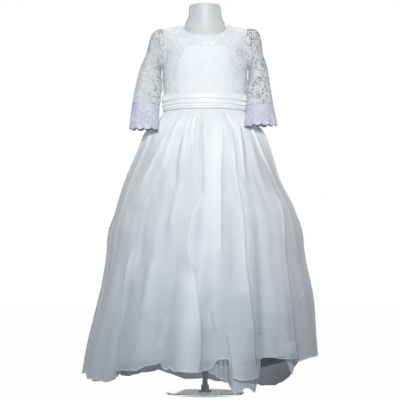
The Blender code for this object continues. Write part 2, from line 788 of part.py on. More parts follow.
def turn_outline(outline):
    """Return a closed solid turned round the upright axis from an outline of radii and heights."""
    bm = bmesh.new()
    points = [bm.verts.new((radius, 0, z)) for radius, z in outline]
    edges = [bm.edges.new(pair) for pair in zip(points, points[1:])]
    bmesh.ops.spin(
        bm, geom=points + edges, cent=(0, 0, 0), axis=(0, 0, 1),
        angle=math.tau, steps=32, use_merge=True,
    )
    bmesh.ops.remove_doubles(bm, verts=bm.verts, dist=0.00001)
    return bm


def build_base(shop):
    """Build the round glass plate and the flanged steel socket that holds the pole's foot."""
    plate = [
        (0.0, 0.0),
        (BASE_RADIUS - 0.001, 0.0),
        (BASE_RADIUS, 0.001),
        (BASE_RADIUS, BASE_HEIGHT - 0.0015),
        (BASE_RADIUS - 0.0015, BASE_HEIGHT),
        (0.0, BASE_HEIGHT),
    ]
    shop.add("form_base", turn_outline(plate), "glass")
    flange_top = SOCKET_FOOT_Z + FLANGE_HEIGHT
    collar_top = SOCKET_FOOT_Z + COLLAR_HEIGHT
    socket = [
        (0.0, SOCKET_FOOT_Z),
        (FLANGE_RADIUS, SOCKET_FOOT_Z),
        (FLANGE_RADIUS, flange_top - 0.0015),
        (FLANGE_RADIUS - 0.0015, flange_top),
        (COLLAR_RADIUS + 0.0015, flange_top),
        (COLLAR_RADIUS, flange_top + 0.0015),
        (COLLAR_RADIUS, collar_top - 0.001),
        (COLLAR_RADIUS - 0.001, collar_top),
        (POLE_RADIUS + SEAM_GAP, collar_top),
        (POLE_RADIUS + SEAM_GAP, SOCKET_FOOT_Z + SOCKET_FLOOR),
        (0.0, SOCKET_FOOT_Z + SOCKET_FLOOR),
    ]
    shop.add("form_socket", turn_outline(socket), "steel")


def main():
    """Build the whole dress and its form."""
    clear_scene()
    shop = Workshop()
    build_form(shop)
    build_bodice(shop)
    build_binding(shop)
    build_sash(shop)
    build_buttons(shop)
    sides = ((1, "left", SLEEVE_LEFT, CUFF_LEFT), (-1, "right", SLEEVE_RIGHT, CUFF_RIGHT))
    for side, side_name, sleeve_rings, cuff_rings in sides:
        build_sleeve(shop, side, side_name, sleeve_rings)
        build_cuff(shop, side, side_name, cuff_rings)
    build_skirt(shop)


main()
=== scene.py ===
"""Looks of a flower girl dress that stands on a limbless child dress form.

Metres, +Z up. The origin is the centre of the base plate's underside. The dress faces -Y, and left
and right are the wearer's, so left is +X. Angles round the body start at the centre front and grow
towards +X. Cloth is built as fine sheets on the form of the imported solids; each sheet's UV map
holds the flat cloth's own coordinates in metres, so that nets and weaves keep their real scale.
"""

import logging
import math
from dataclasses import dataclass
from enum import Enum
from typing import Callable, NamedTuple, Sequence

import bmesh
import bpy
import numpy as np
from bpy.types import Material, Mesh, NodeSocket, NodeTree
from mathutils import Matrix, Vector
from mathutils.bvhtree import BVHTree


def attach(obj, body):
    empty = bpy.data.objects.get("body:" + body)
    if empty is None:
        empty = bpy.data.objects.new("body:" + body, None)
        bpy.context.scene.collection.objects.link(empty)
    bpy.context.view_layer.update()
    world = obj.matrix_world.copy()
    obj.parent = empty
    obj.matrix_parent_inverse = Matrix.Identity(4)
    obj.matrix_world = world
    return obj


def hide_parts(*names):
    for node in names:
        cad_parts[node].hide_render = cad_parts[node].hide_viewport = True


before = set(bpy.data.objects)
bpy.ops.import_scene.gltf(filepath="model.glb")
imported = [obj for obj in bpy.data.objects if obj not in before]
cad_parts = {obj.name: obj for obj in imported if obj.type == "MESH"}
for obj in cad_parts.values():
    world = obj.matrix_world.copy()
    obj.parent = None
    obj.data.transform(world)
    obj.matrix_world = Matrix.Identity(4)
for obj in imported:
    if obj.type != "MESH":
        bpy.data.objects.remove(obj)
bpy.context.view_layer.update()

LOG = logging.getLogger("flower_girl_dress")
BODY = "root"
COVER = "cover"
CLOTH_UV = "cloth"
SIDES = ((1, "left"), (-1, "right"))
Array = np.ndarray
Number = float | Array
Piece = bpy.types.Object

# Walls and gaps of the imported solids, and the distance at which points are merged, in metres
LACE_WALL = 0.0012
SEAM_GAP = 0.0004
FORM_GAP = 0.0085
MERGE = 1e-6


class Slot(str, Enum):
    """The record's material slots that the scene's own pieces use."""

    LACE = "lace"
    LINING = "lining"
    CUFF = "cuff_lace"
    SATIN = "satin"
    TULLE = "tulle"
    FORM = "form"


class Held(str, Enum):
    """How a sheet of cloth is held."""

    HUNG = "hung"
    GATHERED = "gathered"
    STRETCHED = "stretched"


# ---------------------------------------------------------------- small shape helpers


def mix(start: Number, end: Number, share: Number) -> Number:
    """Return the value that lies the given share of the way from start to end."""
    return start + (end - start) * share


def smoothstep(share: Array) -> Array:
    """Ease a share from 0 to 1 with level ends."""
    share = np.clip(share, 0.0, 1.0)
    return share * share * (3 - 2 * share)


def bell(away: Array) -> Array:
    """Return a round bump that is 1 in its middle and fades within about two units."""
    return np.exp(-(away**2))


def table(kind: type, *rows: tuple) -> tuple:
    """Return a table whose rows are all of one kind."""
    return tuple(kind(*row) for row in rows)


def smooth_span(share: Array, start: Array, end: Array, leave: Array, arrive: Array) -> Array:
    """Return a smooth curve between two values.

    Args:
        share: How far along the curve to read it, from 0 to 1.
        start: The value at its start.
        end: The value at its end.
        leave: Its slope at the start.
        arrive: Its slope at the end.

    Returns:
        The values.
    """
    square, cube = share**2, share**3
    return (
        (2 * cube - 3 * square + 1) * start + (cube - 2 * square + share) * leave
        + (3 * square - 2 * cube) * end + (cube - square) * arrive
    )


def read_curve(rows: Sequence[NamedTuple], key: str, column: str, at: Array) -> Array:
    """Read a table's column on a smooth curve through its rows.

    Args:
        rows: The table, sorted by its key either way.
        key: The column that says where each row lies.
        column: The column to read.
        at: Where to read it.

    Returns:
        The values, in the shape of at.
    """
    keys = np.array([getattr(row, key) for row in rows], dtype=float)
    values = np.array([getattr(row, column) for row in rows], dtype=float)
    if keys[0] > keys[-1]:
        keys, values = keys[::-1], values[::-1]
    at = np.clip(at, keys[0], keys[-1])
    spot = np.clip(np.searchsorted(keys, at, side="right") - 1, 0, len(keys) - 2)
    before = np.maximum(np.arange(len(keys)) - 1, 0)
    after = np.minimum(np.arange(len(keys)) + 1, len(keys) - 1)
    slopes = (values[after] - values[before]) / (keys[after] - keys[before])
    span = keys[spot + 1] - keys[spot]
    return smooth_span(
        (at - keys[spot]) / span, values[spot], values[spot + 1],
        span * slopes[spot], span * slopes[spot + 1],
    )


def refine(points: Array, steps: int, wraps: bool = False) -> Array:
    """Return the first axis of a grid of points refined by a smooth curve through it.

    Args:
        points: A grid whose first axis is refined.
        steps: How many steps each span gets.
        wraps: Whether the last point joins the first.

    Returns:
        The refined grid; a wrapped one ends on its first point again.
    """
    count = len(points) + 1 if wraps else len(points)
    at = np.linspace(0, count - 1, (count - 1) * steps + 1)
    spot = np.minimum(at.astype(int), count - 2)
    share = (at - spot).reshape((-1,) + (1,) * (points.ndim - 1))

    def pick(index: Array) -> Array:
        """Return the points at an index, round the ring or held at the ends."""
        return points[index % len(points) if wraps else np.clip(index, 0, count - 1)]

    p0, p1, p2, p3 = (pick(spot + i) for i in (-1, 0, 1, 2))
    return smooth_span(share, p1, p2, (p2 - p0) / 2, (p3 - p1) / 2)


def unit(vectors: Array) -> Array:
    """Return vectors at length one."""
    return vectors / np.maximum(np.linalg.norm(vectors, axis=-1, keepdims=True), 1e-12)


def stack(*coordinates: Array) -> Array:
    """Return points from their coordinates."""
    return np.stack(np.broadcast_arrays(*coordinates), axis=-1)


def grid_of(across: Array, down: Array) -> Array:
    """Return the points of a flat grid from its columns' and its rows' coordinates."""
    return np.stack(np.meshgrid(across, down), axis=-1)


def flat_grid(rows: int, columns: int, width: float, length: float) -> Array:
    """Return the flat coordinates of an even grid, in metres."""
    return grid_of(np.linspace(0, width, columns), np.linspace(0, length, rows))


def outward(points: Array, centre: Array) -> Array:
    """Return a grid's unit normals, turned away from a point or a grid of points inside."""
    normals = unit(np.cross(np.gradient(points, axis=1), np.gradient(points, axis=0)))
    facing = np.sum(normals * (points - centre), axis=-1, keepdims=True)
    return normals * np.sign(np.mean(facing))


def ripple(at: Array, *waves: tuple[float, float, float]) -> Array:
    """Return a sum of sines, which stands for small unevenness.

    Args:
        at: Where to read it.
        waves: Each wave's height, number of turns per unit and phase in turns.

    Returns:
        The summed waves.
    """
    return sum(h * np.sin(math.tau * (at * turns + phase)) for h, turns, phase in waves)


# ---------------------------------------------------------------- meshes


def make_mesh(bm: bmesh.types.BMesh, name: str) -> Mesh:
    """Turn a bmesh into a mesh and free it.

    Args:
        bm: The bmesh.
        name: The mesh's name.

    Returns:
        The mesh.
    """
    mesh = bpy.data.meshes.new(name)
    bm.to_mesh(mesh)
    bm.free()
    return mesh


def finish_mesh(bm: bmesh.types.BMesh, name: str) -> Piece:
    """Turn a bmesh into a smooth-shaded piece and free it.

    Args:
        bm: The bmesh.
        name: The piece's name.

    Returns:
        The piece, in the scene.
    """
    mesh = make_mesh(bm, name)
    mesh.shade_smooth()
    piece = bpy.data.objects.new(name, mesh)
    bpy.context.scene.collection.objects.link(piece)
    return piece


def close_up(bm: bmesh.types.BMesh) -> None:
    """Merge a shell's doubles, fill its open ends and turn its faces out.

    Args:
        bm: The shell.
    """
    bmesh.ops.remove_doubles(bm, verts=bm.verts, dist=MERGE)
    rims = [edge for edge in bm.edges if edge.is_boundary]
    if rims:
        bmesh.ops.holes_fill(bm, edges=rims, sides=0)
    bmesh.ops.recalc_face_normals(bm, faces=bm.faces)


def on_axis(point: Vector) -> Vector:
    """Return the point of the body's upright axis at a point's height."""
    return Vector((0.0, 0.0, point.z))


def grid_on(points: Array, flat: Array, cover: Array | None = None) -> bmesh.types.BMesh:
    """Return a grid moved onto rows of points.

    Args:
        points: Rows of points.
        flat: The flat cloth's coordinates of each point, in metres, for the UV map.
        cover: How much denser than flat the cloth lies at each point, for the finish to read.

    Returns:
        The bmesh.
    """
    rows, columns = points.shape[:2]
    bm = bmesh.new()
    bmesh.ops.create_grid(bm, x_segments=columns - 1, y_segments=rows - 1, size=0.5)
    uv_layer = bm.loops.layers.uv.new(CLOTH_UV)
    cover_layer = bm.verts.layers.float.new(COVER)
    spots = [
        (round((vert.co.y + 0.5) * (rows - 1)), round((vert.co.x + 0.5) * (columns - 1)))
        for vert in bm.verts
    ]
    for vert, spot in zip(bm.verts, spots):
        vert.co = points[spot]
        vert[cover_layer] = 0.0 if cover is None else cover[spot]
        for loop in vert.link_loops:
            loop[uv_layer].uv = flat[spot]
    return bm


def sheet_mesh(
    name: str,
    points: Array,
    flat: Array,
    inside: Callable[[Vector], Vector] = on_axis,
    joined: bool = False,
    cover: Array | None = None,
) -> Piece:
    """Build a sheet from a grid that is moved onto a grid of points.

    Args:
        name: The piece's name.
        points: Rows of points.
        flat: The flat cloth's coordinates of each point, in metres.
        inside: Gives the point that each point of the sheet faces away from.
        joined: Whether the first and last column lie on each other and are merged.
        cover: How much denser than flat the cloth lies at each point.

    Returns:
        The finished sheet.
    """
    bm = grid_on(points, flat, cover)
    if joined:
        rim = [vert for vert in bm.verts if vert.is_boundary]
        bmesh.ops.remove_doubles(bm, verts=rim, dist=MERGE)
    bm.normal_update()
    middles = [(face, face.calc_center_median()) for face in bm.faces]
    lean = sum(f.normal.dot(spot - inside(spot)) * f.calc_area() for f, spot in middles)
    if lean < 0:
        bmesh.ops.reverse_faces(bm, faces=bm.faces)
    return finish_mesh(bm, name)


def add_wall(piece: Piece, thickness: float) -> None:
    """Give a sheet its thickness, inwards, with a Solidify modifier."""
    wall = piece.modifiers.new("cloth_wall", "SOLIDIFY")
    wall.thickness = thickness
    wall.offset = -1.0


def tube_mesh(name: str, path: Array, radius: float, sides: int, closed: bool) -> Piece:
    """Build a round cord of cloth along a path of points.

    Args:
        name: The piece's name.
        path: The points that it follows.
        radius: Its radius in metres.
        sides: How many sides its section has.
        closed: Whether the path's last point joins its first.

    Returns:
        The finished tube, with its ends capped.
    """
    points = np.concatenate((path, path[:1])) if closed else path
    ahead = unit(np.gradient(points, axis=0))
    if closed:
        ahead[0] = ahead[-1] = unit(points[1] - points[-2])
    out = unit(np.cross(ahead, np.cross(points - points.mean(axis=0), ahead)))
    side = np.cross(ahead, out)
    turns = np.linspace(0, math.tau, sides + 1)[:, None, None]
    rings = points[None] + radius * (np.cos(turns) * out[None] + np.sin(turns) * side[None])
    length = float(np.linalg.norm(np.diff(points, axis=0), axis=1).sum())
    bm = grid_on(rings, flat_grid(sides + 1, len(points), length, math.tau * radius))
    close_up(bm)
    return finish_mesh(bm, name)


# ---------------------------------------------------------------- finishes


def srgb(code: str) -> tuple[float, float, float, float]:
    """Return a hex colour as linear RGBA."""
    channels = [int(code[i : i + 2], 16) / 255 for i in (1, 3, 5)]
    linear = [c / 12.92 if c <= 0.04045 else ((c + 0.055) / 1.055) ** 2.4 for c in channels]
    return (*linear, 1.0)


class Nodes:
    """A node tree with one short way to add to it."""

    def __init__(self, tree: NodeTree) -> None:
        """Take the tree that nodes are added to."""
        self.tree = tree

    def wire(self, node: bpy.types.Node, inputs: dict[str | int, object]) -> None:
        """Set a node's inputs.

        Args:
            node: The node.
            inputs: Values or output sockets, by the input's name or place.
        """
        for name, value in inputs.items():
            if isinstance(value, NodeSocket):
                self.tree.links.new(value, node.inputs[name])
            else:
                node.inputs[name].default_value = value

    def add(
        self, kind: str, output: str | int, inputs: dict[str | int, object], **settings: object
    ) -> NodeSocket:
        """Add a shader node with its settings and links.

        Args:
            kind: The node's type, without its first words.
            output: The output that is asked for, by name or place.
            inputs: Values or output sockets for its inputs, by name or place.
            settings: Attributes to set on the node.

        Returns:
            The output's socket.
        """
        node = self.tree.nodes.new(f"ShaderNode{kind}")
        for name, value in settings.items():
            setattr(node, name, value)
        self.wire(node, inputs)
        return node.outputs[output]

    def cloudy(self, size: float, detail: float = 3.0) -> NodeSocket:
        """Return soft noise on the object's coordinates, with patches of a size in metres."""
        place = self.add("TexCoord", "Object", {})
        return self.add("TexNoise", "Fac", {"Vector": place, "Scale": 1 / size, "Detail": detail})

    def honeycomb(self, cell: float, thread: float) -> NodeSocket:
        """Return a mask of net threads round six-sided holes, 1 on a thread and 0 in a hole.

        Args:
            cell: The distance between the holes' centres in metres.
            thread: How much of the net is thread, from 0 to 1.

        Returns:
            The mask's socket.
        """
        flat = self.add("UVMap", "UV", {}, uv_map=CLOTH_UV)
        wave = math.tau / (cell * math.sin(math.pi / 3))
        total: object = 0.0
        for turn in (0.0, math.pi / 3, -math.pi / 3):
            way = (wave * math.cos(turn), wave * math.sin(turn), 0.0)
            run = self.add("VectorMath", "Value", {0: flat, 1: way}, operation="DOT_PRODUCT")
            crest = self.add("Math", 0, {0: run}, operation="COSINE")
            total = self.add("Math", 0, {0: total, 1: crest}, operation="ADD")
        edge = mix(-1.5, 1.5, thread)
        return self.add(
            "MapRange", "Result",
            {"Value": total, "From Min": edge - 0.5, "From Max": edge + 0.5, "To Min": 1.0, "To Max": 0.0},
        )


class Finish(Nodes):
    """A new material and its Principled shader."""

    def __init__(self, name: str, colour: str, roughness: float) -> None:
        """Start a material.

        Args:
            name: The material's name.
            colour: Its hex colour.
            roughness: Its roughness.
        """
        self.material = bpy.data.materials.new(name)
        self.material.use_nodes = True
        super().__init__(self.material.node_tree)
        self.shader = self.tree.nodes["Principled BSDF"]
        self.wire(self.shader, {"Base Color": srgb(colour), "Roughness": roughness})

    def done(self, **inputs: object) -> Material:
        """Set the shader's last inputs, by name with _ for a space, and return the material."""
        self.wire(self.shader, {name.replace("_", " "): value for name, value in inputs.items()})
        return self.material


@dataclass(frozen=True)
class Tulle:
    """Soft nylon net: knitted six-sided holes under 2 mm, sheer alone and milky in layers.

    The holes are drawn coarser than real so that the net still shows up close. Where a fold is
    laid double, the sheet's cover attribute makes the net denser.
    """

    name: str
    length: float
    colour: str = "#f2f7fa"
    open_alpha: float = 0.32
    thread_alpha: float = 0.66
    cell: float = 0.0026
    thread: float = 0.45
    hem_width: float = 0.004
    hem_edge: float = 0.001
    hem_extra: float = 0.22
    cloud_size: float = 0.07
    cloud_depth: float = 0.03

    def build(self) -> Material:
        """Build the finish.

        Returns:
            The material.
        """
        finish = Finish(self.name, self.colour, roughness=0.75)
        net = finish.honeycomb(self.cell, self.thread)
        alpha = finish.add(
            "MapRange", "Result",
            {"Value": net, "To Min": self.open_alpha, "To Max": self.thread_alpha},
        )
        cloud = finish.add(
            "MapRange", "Result",
            {
                "Value": finish.cloudy(self.cloud_size), "From Min": 0.3, "From Max": 0.7,
                "To Min": -self.cloud_depth, "To Max": self.cloud_depth,
            },
        )
        cover = finish.add("Attribute", "Fac", {}, attribute_name=COVER)
        flat = finish.add("UVMap", "UV", {}, uv_map=CLOTH_UV)
        down = finish.add("SeparateXYZ", "Y", {0: flat})
        start = self.length - self.hem_width
        hem = finish.add(
            "MapRange", "Result",
            {
                "Value": down, "From Min": start, "From Max": start + self.hem_edge,
                "To Max": self.hem_extra,
            },
        )
        for extra in (cloud, cover, hem):
            alpha = finish.add("Math", 0, {0: alpha, 1: extra}, operation="ADD")
        alpha = finish.add("Math", 0, {0: alpha, 1: 0.05}, operation="MAXIMUM")
        alpha = finish.add("Math", 0, {0: alpha, 1: 1.0}, operation="MINIMUM")
        return finish.done(Alpha=alpha, Sheen_Weight=0.15)


@dataclass(frozen=True)
class Satin:
    """Polyester satin: long floats of smooth yarn give it a broad soft sheen."""

    name: str
    colour: str = "#f3f5f6"
    roughness: float = 0.50
    roughness_range: float = 0.05
    sheen: float = 0.05
    crease: float = 0.0004
    crease_size: float = 0.018
    float_width: float = 0.0075

    def build(self) -> Material:
        """Build the finish.

        Returns:
            The material.
        """
        finish = Finish(self.name, self.colour, self.roughness)
        creases = finish.cloudy(self.crease_size, 4.0)
        flat = finish.add("UVMap", "UV", {}, uv_map=CLOTH_UV)
        weave = finish.add(
            "TexWave", "Fac",
            {"Vector": flat, "Scale": 1 / self.float_width, "Distortion": 1.5, "Detail": 2.0},
            wave_type="BANDS", bands_direction="DIAGONAL",
        )
        height = finish.add("Math", 0, {0: weave, 1: 0.15, 2: creases}, operation="MULTIPLY_ADD")
        inputs = {"Height": height, "Distance": self.crease, "Strength": 0.5}
        normal = finish.add("Bump", "Normal", inputs)
        rough = finish.add(
            "MapRange", "Result",
            {
                "Value": creases, "From Min": 0.3, "From Max": 0.7,
                "To Min": self.roughness - self.roughness_range,
                "To Max": self.roughness + self.roughness_range,
            },
        )
        return finish.done(
            Roughness=rough, Normal=normal, Sheen_Weight=self.sheen, Sheen_Roughness=0.4
        )


@dataclass(frozen=True)
class LaceNet:
    """The fine net ground that lace flowers are worked on, open enough to see through.

    Where the sheet's cover attribute is above zero, the lace reads denser, as it does on a
    lining of its own white. Below zero the lace is worked more open, with patches of round
    eyelets that read as small dark holes.
    """

    name: str
    open_alpha: float
    thread_alpha: float
    colour: str = "#f4f6f8"
    cell: float = 0.0030
    thread: float = 0.45
    thread_height: float = 0.0003
    eyelet_spacing: float = 0.0070
    eyelet_reach: float = 0.42
    eyelet_patch: float = 0.016

    def build(self) -> Material:
        """Build the finish.

        Returns:
            The material.
        """
        finish = Finish(self.name, self.colour, roughness=0.85)
        net = finish.honeycomb(self.cell, self.thread)
        cover = finish.add("Attribute", "Fac", {}, attribute_name=COVER)
        flat = finish.add("UVMap", "UV", {}, uv_map=CLOTH_UV)
        spots = finish.add(
            "TexVoronoi", "Distance",
            {"Vector": flat, "Scale": 1 / self.eyelet_spacing, "Randomness": 0.85},
            voronoi_dimensions="2D",
        )
        patch = finish.add(
            "MapRange", "Result",
            {"Value": finish.cloudy(self.eyelet_patch), "From Min": 0.38, "From Max": 0.50},
        )
        patch = finish.add("Math", 0, {0: patch, 1: cover}, operation="MULTIPLY")
        reach = finish.add("Math", 0, {0: patch, 1: -self.eyelet_reach}, operation="MULTIPLY")
        beyond = finish.add("Math", 0, {0: spots, 1: reach}, operation="SUBTRACT")
        kept = finish.add(
            "MapRange", "Result", {"Value": beyond, "From Min": -0.05, "From Max": 0.05}
        )
        alpha = finish.add(
            "MapRange", "Result",
            {"Value": net, "To Min": self.open_alpha, "To Max": self.thread_alpha},
        )
        denser = finish.add("Math", 0, {0: cover, 1: 0.0}, operation="MAXIMUM")
        alpha = finish.add("Math", 0, {0: alpha, 1: denser}, operation="ADD")
        alpha = finish.add("Math", 0, {0: alpha, 1: 1.0}, operation="MINIMUM")
        alpha = finish.add("Math", 0, {0: alpha, 1: kept}, operation="MULTIPLY")
        inputs = {"Height": net, "Distance": self.thread_height, "Strength": 0.6}
        return finish.done(Alpha=alpha, Normal=finish.add("Bump", "Normal", inputs))


@dataclass(frozen=True)
class LaceThread:
    """Matt cotton embroidery: close satin stitches that stand proud of the net.

    The stitches are drawn coarser than real so that they still show.
    """

    name: str
    colour: str
    stitches: float = 0.0072
    stitch_height: float = 0.0003

    def build(self) -> Material:
        """Build the finish.

        Returns:
            The material.
        """
        finish = Finish(self.name, self.colour, roughness=0.9)
        place = finish.add("TexCoord", "Object", {})
        runs = finish.add(
            "TexWave", "Fac",
            {"Vector": place, "Scale": 1 / self.stitches, "Distortion": 3.0, "Detail": 1.0},
            wave_type="BANDS", bands_direction="DIAGONAL",
        )
        inputs = {"Height": runs, "Distance": self.stitch_height, "Strength": 0.5}
        return finish.done(Normal=finish.add("Bump", "Normal", inputs))


@dataclass(frozen=True)
class PlainLining:
    """Plain-woven polyester lining: matt, opaque, with a barely visible weave."""

    name: str
    colour: str = "#fcfcfd"
    yarn: float = 0.0008
    crumple_size: float = 0.03
    crumple: float = 0.0004

    def build(self) -> Material:
        """Build the finish.

        Returns:
            The material.
        """
        finish = Finish(self.name, self.colour, roughness=0.7)
        flat = finish.add("UVMap", "UV", {}, uv_map=CLOTH_UV)
        weave = finish.add("TexChecker", "Fac", {"Vector": flat, "Scale": 1 / self.yarn})
        soft = finish.cloudy(self.crumple_size)
        height = finish.add("Math", 0, {0: weave, 1: 0.1, 2: soft}, operation="MULTIPLY_ADD")
        inputs = {"Height": height, "Distance": self.crumple, "Strength": 0.4}
        return finish.done(Normal=finish.add("Bump", "Normal", inputs))


@dataclass(frozen=True)
class SprayedShell:
    """Moulded shell sprayed white: low gloss, with the faint orange peel of a sprayed coat."""

    name: str
    colour: str = "#d5dada"
    roughness: float = 0.42
    roughness_range: float = 0.04
    peel: float = 0.004
    peel_height: float = 0.0002
    cloud_size: float = 0.05

    def build(self) -> Material:
        """Build the finish.

        Returns:
            The material.
        """
        finish = Finish(self.name, self.colour, self.roughness)
        peel = finish.cloudy(self.peel, 2.0)
        inputs = {"Height": peel, "Distance": self.peel_height, "Strength": 0.3}
        normal = finish.add("Bump", "Normal", inputs)
        rough = finish.add(
            "MapRange", "Result",
            {
                "Value": finish.cloudy(self.cloud_size), "From Min": 0.3, "From Max": 0.7,
                "To Min": self.roughness - self.roughness_range,
                "To Max": self.roughness + self.roughness_range,
            },
        )
        return finish.done(Roughness=rough, Normal=normal)


@dataclass(frozen=True)
class FloatGlass:
    """Polished low-iron float glass, with a faint green cast that varies through the melt."""

    name: str
    colour: str = "#f6fcfa"
    cast: str = "#fbfefd"
    cast_size: float = 0.06

    def build(self) -> Material:
        """Build the finish.

        Returns:
            The material.
        """
        finish = Finish(self.name, self.colour, roughness=0.0)
        cloud = finish.cloudy(self.cast_size)
        ends = {6: srgb(self.colour), 7: srgb(self.cast)}
        tint = finish.add("Mix", 2, {0: cloud, **ends}, data_type="RGBA")
        return finish.done(Base_Color=tint, Transmission_Weight=1.0, IOR=1.5)


class Wardrobe:
    """Every finish, built once."""

    def __init__(self) -> None:
        """Build the finishes."""
        self.tulle_over = Tulle("nylon_tulle_over", length=0.84).build()
        self.tulle_under = Tulle("nylon_tulle_under", length=0.86, open_alpha=0.36).build()
        self.satin = Satin("polyester_satin").build()
        self.skirt_satin = Satin("polyester_satin_skirt", roughness=0.55, sheen=0.15).build()
        self.lining = PlainLining("plain_woven_lining").build()
        self.net = LaceNet("lace_net", 0.78, 0.92).build()
        # painted shade: the sleeves' net is a greyer copy of the bodice's white net, for the sleeves'
        # dimmer tone
        self.shaded_sleeve_net = LaceNet("lace_net_sleeve", 0.46, 0.78, "#eef0f2").build()
        self.thread = LaceThread("lace_embroidery", "#eff1f3").build()
        # painted shade: the sleeves' embroidery is a grey copy of the bodice's white thread, for the
        # sleeves' dimmer tone
        self.shaded_sleeve_thread = LaceThread("sleeve_lace_embroidery", "#d2d7db").build()
        self.seam = PlainLining("turned_seam_cloth", "#eceef0").build()
        self.cuff_net = LaceNet("cuff_lace_net", 0.84, 0.97, "#d0d2e4").build()
        self.cuff_thread = LaceThread("cuff_lace_embroidery", "#d8daea").build()
        self.form = SprayedShell("sprayed_form_shell").build()
        self.steel = SprayedShell("powder_coated_steel", "#f2f4f4", roughness=0.45).build()
        self.glass = FloatGlass("float_glass").build()


def dress(piece: Piece, material: Material, slot: Slot, *nodes: str) -> Piece:
    """Finish a piece, hang it on the body, hide the nodes it stands for, and report it.

    Args:
        piece: The piece.
        material: Its finish.
        slot: Its material slot; not used.
        nodes: The nodes that it stands for.

    Returns:
        The piece.
    """
    piece.data.materials.clear()
    piece.data.materials.append(material)
    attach(piece, BODY)
    if nodes:
        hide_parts(*nodes)
    LOG.info("built %s with %d faces", piece.name, len(piece.data.polygons))
    return piece


# ---------------------------------------------------------------- lace flowers


def petal_flower(radius: float, petals: int, rise: float) -> Mesh:
    """Return a flat worked flower with domed petals and a raised heart.

    Args:
        radius: Its radius in metres.
        petals: How many petals it has.
        rise: How far its petals stand proud of the net.

    Returns:
        A mesh about the origin, in the XY plane.
    """
    bm = bmesh.new()
    bmesh.ops.create_circle(bm, cap_ends=True, cap_tris=False, segments=petals * 8, radius=1.0)
    middle = bm.faces[:]
    for _ in range(3):
        bmesh.ops.inset_region(bm, faces=middle, thickness=0.22, use_even_offset=False)
    for vert in bm.verts:
        reach = vert.co.to_2d().length
        petal = abs(math.cos(math.atan2(vert.co.y, vert.co.x) * petals / 2))
        spread = radius * mix(1.0, 0.74 + 0.26 * petal**0.7, min(reach * 1.4, 1.0))
        dome = math.sin(math.pi * min(reach, 1.0) ** 0.8) * (0.55 + 0.45 * petal)
        vert.co = (vert.co.x * spread, vert.co.y * spread, rise * (0.15 + dome))
    bmesh.ops.poke(bm, faces=[f for f in bm.faces if len(f.verts) > 4])
    return make_mesh(bm, "petal_flower")


def leaf(length: float, width: float, bend: float, rise: float) -> Mesh:
    """Return a worked leaf with a raised middle.

    Args:
        length: From stalk to tip in metres.
        width: At its widest.
        bend: How far its middle lies to the side.
        rise: How far it stands proud of the net.

    Returns:
        A mesh that starts at the origin and runs along +X.
    """
    bm = bmesh.new()
    bmesh.ops.create_grid(bm, x_segments=8, y_segments=4, size=0.5)
    for vert in bm.verts:
        along, across = vert.co.x + 0.5, vert.co.y * 2
        half = width / 2 * math.sin(math.pi * along**0.8) ** 0.8
        swell = math.sin(math.pi * along)
        vert.co = (
            along * length, across * half + bend * swell, rise * (0.2 + (1 - abs(across)) * swell)
        )
    bmesh.ops.remove_doubles(bm, verts=bm.verts, dist=MERGE)
    return make_mesh(bm, "leaf")


class Sprig(NamedTuple):
    """One motif of a lace repeat: which mesh, where it lies in the repeat and how it is turned."""

    mesh: str
    across: float
    up: float
    turn: float
    size: float


# One repeat of the lace, in shares of the repeat's width and height and in degrees
LACE_REPEAT = table(
    Sprig,
    ("flower", 0.22, 0.25, 10, 1.0),
    ("leaf", 0.40, 0.32, 35, 1.0),
    ("leaf", 0.36, 0.14, -28, 0.9),
    ("leaf", 0.08, 0.40, 118, 0.9),
    ("leaf", 0.05, 0.10, 205, 0.8),
    ("stem", 0.42, 0.22, 8, 1.0),
    ("bud", 0.60, 0.10, 0, 1.0),
    ("bud", 0.70, 0.44, 0, 0.8),
    ("flower", 0.72, 0.74, 46, 0.86),
    ("leaf", 0.88, 0.84, 42, 1.0),
    ("leaf", 0.58, 0.90, 130, 0.9),
    ("leaf", 0.54, 0.60, 215, 1.0),
    ("leaf", 0.86, 0.60, -50, 0.8),
    ("stem", 0.56, 0.76, 172, 1.0),
    ("bud", 0.30, 0.62, 0, 1.0),
    ("bud", 0.20, 0.86, 0, 0.8),
    ("bud", 0.95, 0.20, 0, 0.7),
)


